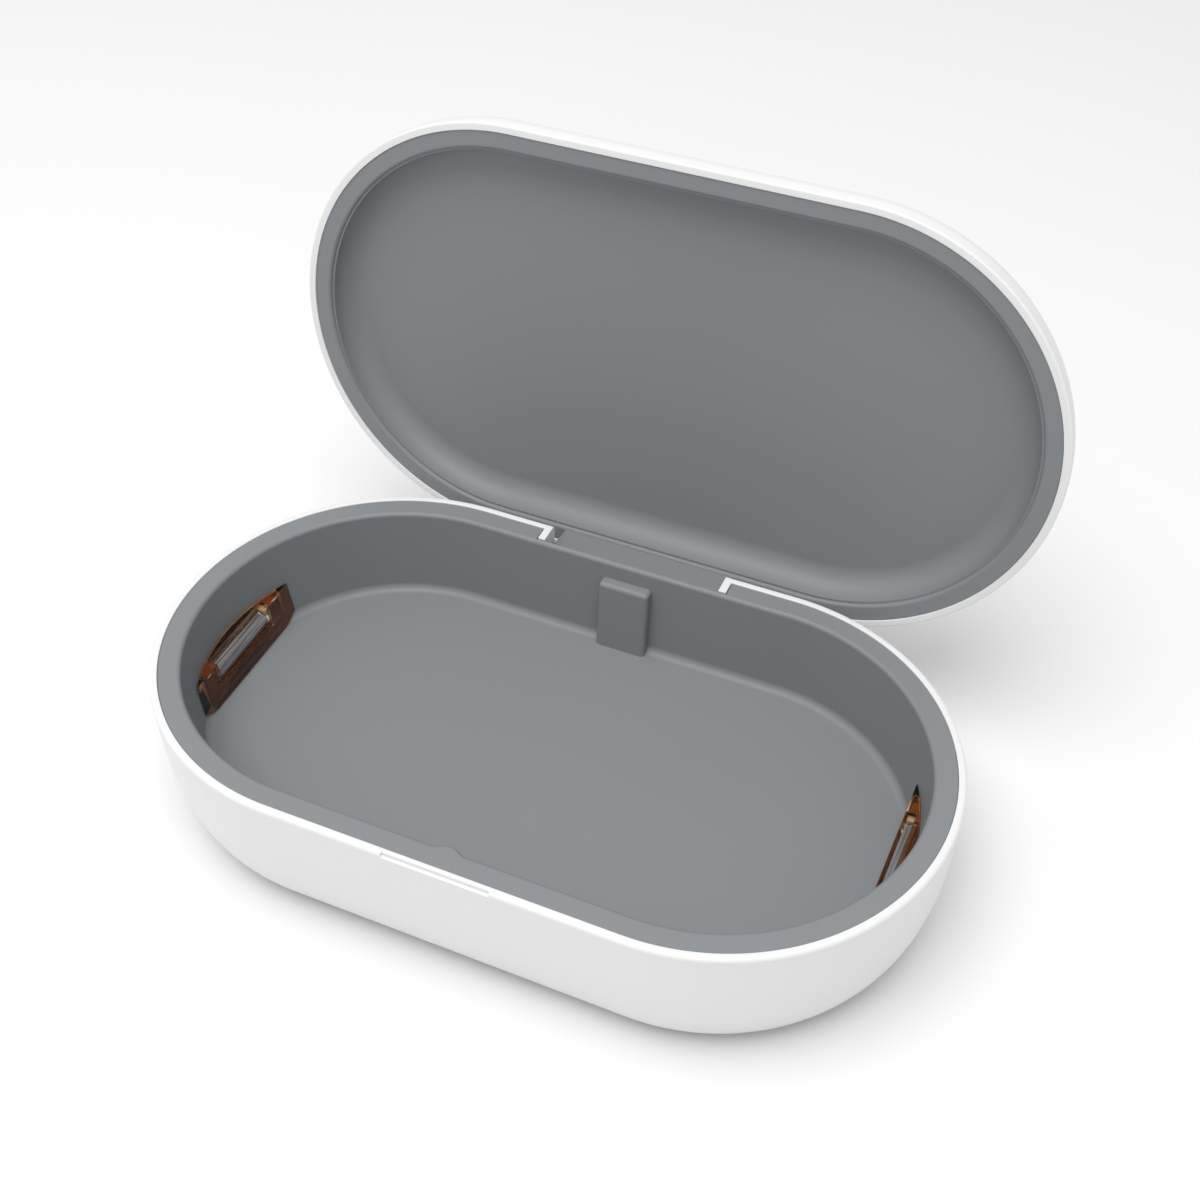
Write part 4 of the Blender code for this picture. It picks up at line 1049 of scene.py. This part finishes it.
def footPad():
    edge = padSettings["edge"]
    outer = padHigh.y
    rib = outer - padSettings["rib"]
    field = rib - padSettings["rib"]
    groove = padLow.z + padSettings["groove"]
    section = filleted([
        (0, padHigh.z), (outer, padHigh.z), (outer, padLow.z, edge, 3),
        (rib, padLow.z, edge, 3), (rib, groove, edge / 2, 2),
        (field, groove, edge / 2, 2), (field, padLow.z, edge, 3), (0, padLow.z),
    ])
    made = meshObject("footPad", sweptForm(section))
    return finished(made, slotLooks["rubber"], "base", ["foot_pad"], 38)


screwSettings = {
    "headHeight": 0.0016, "shank": 0.0012, "crown": ((0.5, 0.00005), (0.82, 0.00022), (1, 0.0005)),
    "runOut": 0.0004, "pitch": 0.0006, "threadDepth": 0.00022, "tip": 0.0003, "tipRise": 0.0001,
    "slotShare": 0.62, "slotHalf": 0.00038, "slotDepth": 0.0008, "slotRound": 0.0001,
}


def coverScrew(number, low, high):
    set_ = screwSettings
    head = (high.x - low.x) / 2
    shank = set_["shank"]
    headTop = low.z + set_["headHeight"]
    section = [(0, low.z)]
    section += [(head * share, low.z + rise) for share, rise in set_["crown"]]
    section += [(head, headTop), (shank, headTop)]
    level = headTop + set_["runOut"]
    while level + set_["pitch"] < high.z - shank:
        section += [(shank, level), (shank - set_["threadDepth"], level + set_["pitch"] / 2)]
        level += set_["pitch"]
    section += [(shank, high.z - shank), (set_["tip"], high.z - set_["tipRise"]), (0, high.z)]
    place = ((low.x + high.x) / 2, (low.y + high.y) / 2, 0)
    made = meshObject(f"coverScrew{number}", moved(latheForm(section, 64), place))
    reach, half = head * set_["slotShare"], set_["slotHalf"]
    changes = []
    for across, along in ((reach, half), (half, reach)):
        slot = blockForm(
            (-across, -along, low.z - overrun), (across, along, low.z + set_["slotDepth"]),
            set_["slotRound"], 2,
        )
        changes.append(("DIFFERENCE", moved(slot, place)))
    return finished(
        shaped(made, changes), slotLooks["plated_steel"], "base", [f"cover_screw_{number}"],
        32,
    )


bottomCover()
footPad()
for number, (low, high) in enumerate(screwBoxes, 1):
    coverScrew(number, low, high)
print("underside made")

# Start button and its light ring in the lid's outside, built closed and then opened


def startButton():
    set_ = buttonSettings
    radius = lidSettings["buttonRadius"]
    ceiling = lidTop - shellSettings["wall"]
    top = lidTop + set_["proud"]
    lipTop = ceiling - set_["flangeHeight"] - 2 * fitGap
    panBack = lidRing + lidSettings["panDepth"] + lidSettings["linerWall"]
    stemFoot = panBack + set_["stemClear"]
    section = [(0, stemFoot), (set_["stem"], stemFoot), (set_["stem"], top - set_["plate"])]
    section += [(radius - set_["skirt"], top - set_["plate"])]
    section += [(radius - set_["skirt"], lipTop - set_["lipThickness"])]
    section += [(radius + set_["lip"], lipTop - set_["lipThickness"])]
    section += [(radius + set_["lip"], lipTop), (radius, lipTop)]
    section += arcPoints((radius - set_["round"], top - set_["round"]), set_["round"], 0, 90, 6)
    bowl = radius * set_["dishFrom"]
    for k in range(17):
        share = k / 16
        depth = set_["dish"] * (1 - math.cos(math.pi * share)) / 2
        section.append((bowl * (1 - share), top - depth))
    form = moved(latheForm(section, 128), (0, lidSettings["buttonInset"] - rimRadius, 0))
    made = meshObject("startButton", opened(form))
    return finished(made, whitePlastic, "button", ["start_button"], 38)


def lightRing():
    set_ = buttonSettings
    inner = lidSettings["buttonRadius"] + fitGap
    outer = inner + set_["ringWidth"]
    seat = lidTop - shellSettings["wall"] - fitGap
    section = filleted([
        (inner, lidTop, set_["ringEdge"], 3), (outer, lidTop, set_["ringEdge"], 3), (outer, seat),
        (outer + set_["flange"], seat), (outer + set_["flange"], seat - set_["flangeHeight"]),
        (inner, seat - set_["flangeHeight"]),
    ])
    form = moved(latheForm(section, 128), (0, lidSettings["buttonInset"] - rimRadius, 0))
    made = meshObject("lightRing", opened(form))
    return finished(
        made, slotLooks["light_guide"], "lid", ["light_ring"], 38,
    )


startButton()
lightRing()
print("button made")


# Power inlet in the rear wall
inletSettings = {
    "wall": 0.0004, "tongue": 0.0007, "outerRound": 0.0011, "innerRound": 0.0009,
    "tongueRound": 0.0001,
}


def powerInlet():
    set_ = inletSettings
    wall, tongue = set_["wall"], set_["tongue"]
    depth = inletHigh.y - inletLow.y
    made = meshObject("powerInlet", blockForm(inletLow, inletHigh, set_["outerRound"], 8))
    middle = (inletLow.z + inletHigh.z) / 2
    changes = [
        ("DIFFERENCE", blockForm(
            (inletLow.x + wall, inletLow.y + depth / 4, inletLow.z + wall),
            (inletHigh.x - wall, inletHigh.y + overrun, inletHigh.z - wall),
            set_["innerRound"], 8,
        )),
        ("UNION", blockForm(
            (inletLow.x + wall + tongue, inletLow.y + depth / 8, middle - tongue / 2),
            (inletHigh.x - wall - tongue, inletHigh.y - tongue, middle + tongue / 2),
            set_["tongueRound"],
        )),
    ]
    return finished(
        shaped(made, changes), slotLooks["plated_steel"], "base", ["power_inlet"],
        38,
    )


powerInlet()
print("inlet made")


# Holders at the ends of the lamps
holderRound = 0.0004


def lampHolder(side, end):
    name = f"lamp_holder_{side.lower()}_{end.lower()}"
    low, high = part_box(name)
    tubeLow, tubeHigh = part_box(f"lamp_tube_{side.lower()}")
    made = meshObject(f"lampHolder{side}{end}", blockForm(low, high, holderRound, 4))
    radius = (tubeHigh.z - tubeLow.z) / 2 + fitGap
    reach = (low.y - overrun, tubeHigh.y + fitGap)
    if end == "Front":
        reach = (tubeLow.y - fitGap, high.y + overrun)
    section = [(0, reach[0]), (radius, reach[0]), (radius, reach[1]), (0, reach[1])]
    centre = (tubeLow + tubeHigh) / 2
    bore = moved(latheForm(section, 96, "Y"), (centre.x, 0, centre.z))
    changes = [("DIFFERENCE", bore)]
    return finished(
        shaped(made, changes), holderMoulding, "base", [name], 38,
    )


for side in ("Left", "Right"):
    for end in ("Front", "Rear"):
        lampHolder(side, end)
print("lamp holders made")

# Looks of the CAD pieces that are shown as they are
nodeSlots = {
    "driver_board": "board", "lid_board": "board", "lid_sensor": "board",
    "transformer_core": "ferrite", "transformer_coil": "winding", "driver_chip": "black_moulding",
    "capacitor_1": "black_moulding", "capacitor_2": "black_moulding",
    "button_switch": "black_moulding", "lid_ribbon": "ribbon", "catch_magnet": "magnet",
    "lid_magnet_front": "magnet", "lid_magnet_rear": "magnet",
}
for name, node in frame["nodes"].items():
    slot = nodeSlots.get(name)
    if slot is None:
        if name.startswith(("board_screw", "hinge_screw", "hinge_pin")):
            slot = "plated_steel"
        elif name.startswith("reflector"):
            slot = "bright_sheet"
        elif name.startswith("lamp_lead"):
            slot = "lead_sheath"
        elif name.startswith("lamp_connector"):
            slot = "cream_moulding"
        else:
            continue
    node.data.materials.clear()
    node.data.materials.append(slotLooks[slot])
    node.data.shade_smooth()
    node.data.set_sharp_from_angle(angle=math.radians(35))
print("carried pieces finished")


# Floor, light and camera
def floorLook():
    look = Look("paleFloor")
    tone = look.noise(3.0, 2.0, 0.5)
    colour = look.blend(tone, (0.79, 0.79, 0.79), (0.81, 0.81, 0.81))
    return look.finish(Base_Color=colour, Roughness=0.7, Specular_IOR_Level=0.1)


floorForm = bmesh.new()
bmesh.ops.create_grid(floorForm, x_segments=8, y_segments=8, size=6.0)
floorPiece = meshObject("paleFloor", floorForm)
floorPiece.data.materials.append(floorLook())


def softLight(name, place, aim, size, power):
    lamp = bpy.data.lights.new(name, "AREA")
    lamp.shape = "DISK"
    lamp.size = size
    lamp.energy = power
    made = bpy.data.objects.new(name, lamp)
    made.location = place
    made.rotation_euler = (Vector(aim) - Vector(place)).to_track_quat("-Z", "Y").to_euler()
    bpy.context.scene.collection.objects.link(made)


softLight("overheadLight", (-0.05, -0.35, 1.45), (0, 0, 0), 1.2, 17.5)
softLight("leftLight", (-1.20, 0.10, 0.60), (0, 0, 0.03), 0.9, 1.1)

world = bpy.data.worlds.new("softWorld")
world.use_nodes = True
world.node_tree.nodes["Background"].inputs["Color"].default_value = (1.0, 1.0, 1.0, 1.0)
world.node_tree.nodes["Background"].inputs["Strength"].default_value = 0.62
bpy.context.scene.world = world
bpy.context.scene.view_settings.view_transform = "Standard"

camera = bpy.data.objects.new("camera", bpy.data.cameras.new("camera"))
camera.data.sensor_width = 36.0
camera.data.lens = 50.504
camera.data.clip_start = 0.01
right = Vector((0.91514, 0.40314, 0.0))
up = Vector((-0.27643, 0.62751, 0.72789))
back = Vector((0.29344, -0.66612, 0.68570))
turn = Matrix((right, up, back)).transposed().to_4x4()
camera.matrix_world = Matrix.Translation((0.13503, -0.27142, 0.36450)) @ turn
bpy.context.scene.collection.objects.link(camera)
bpy.context.scene.camera = camera
print("scene set")
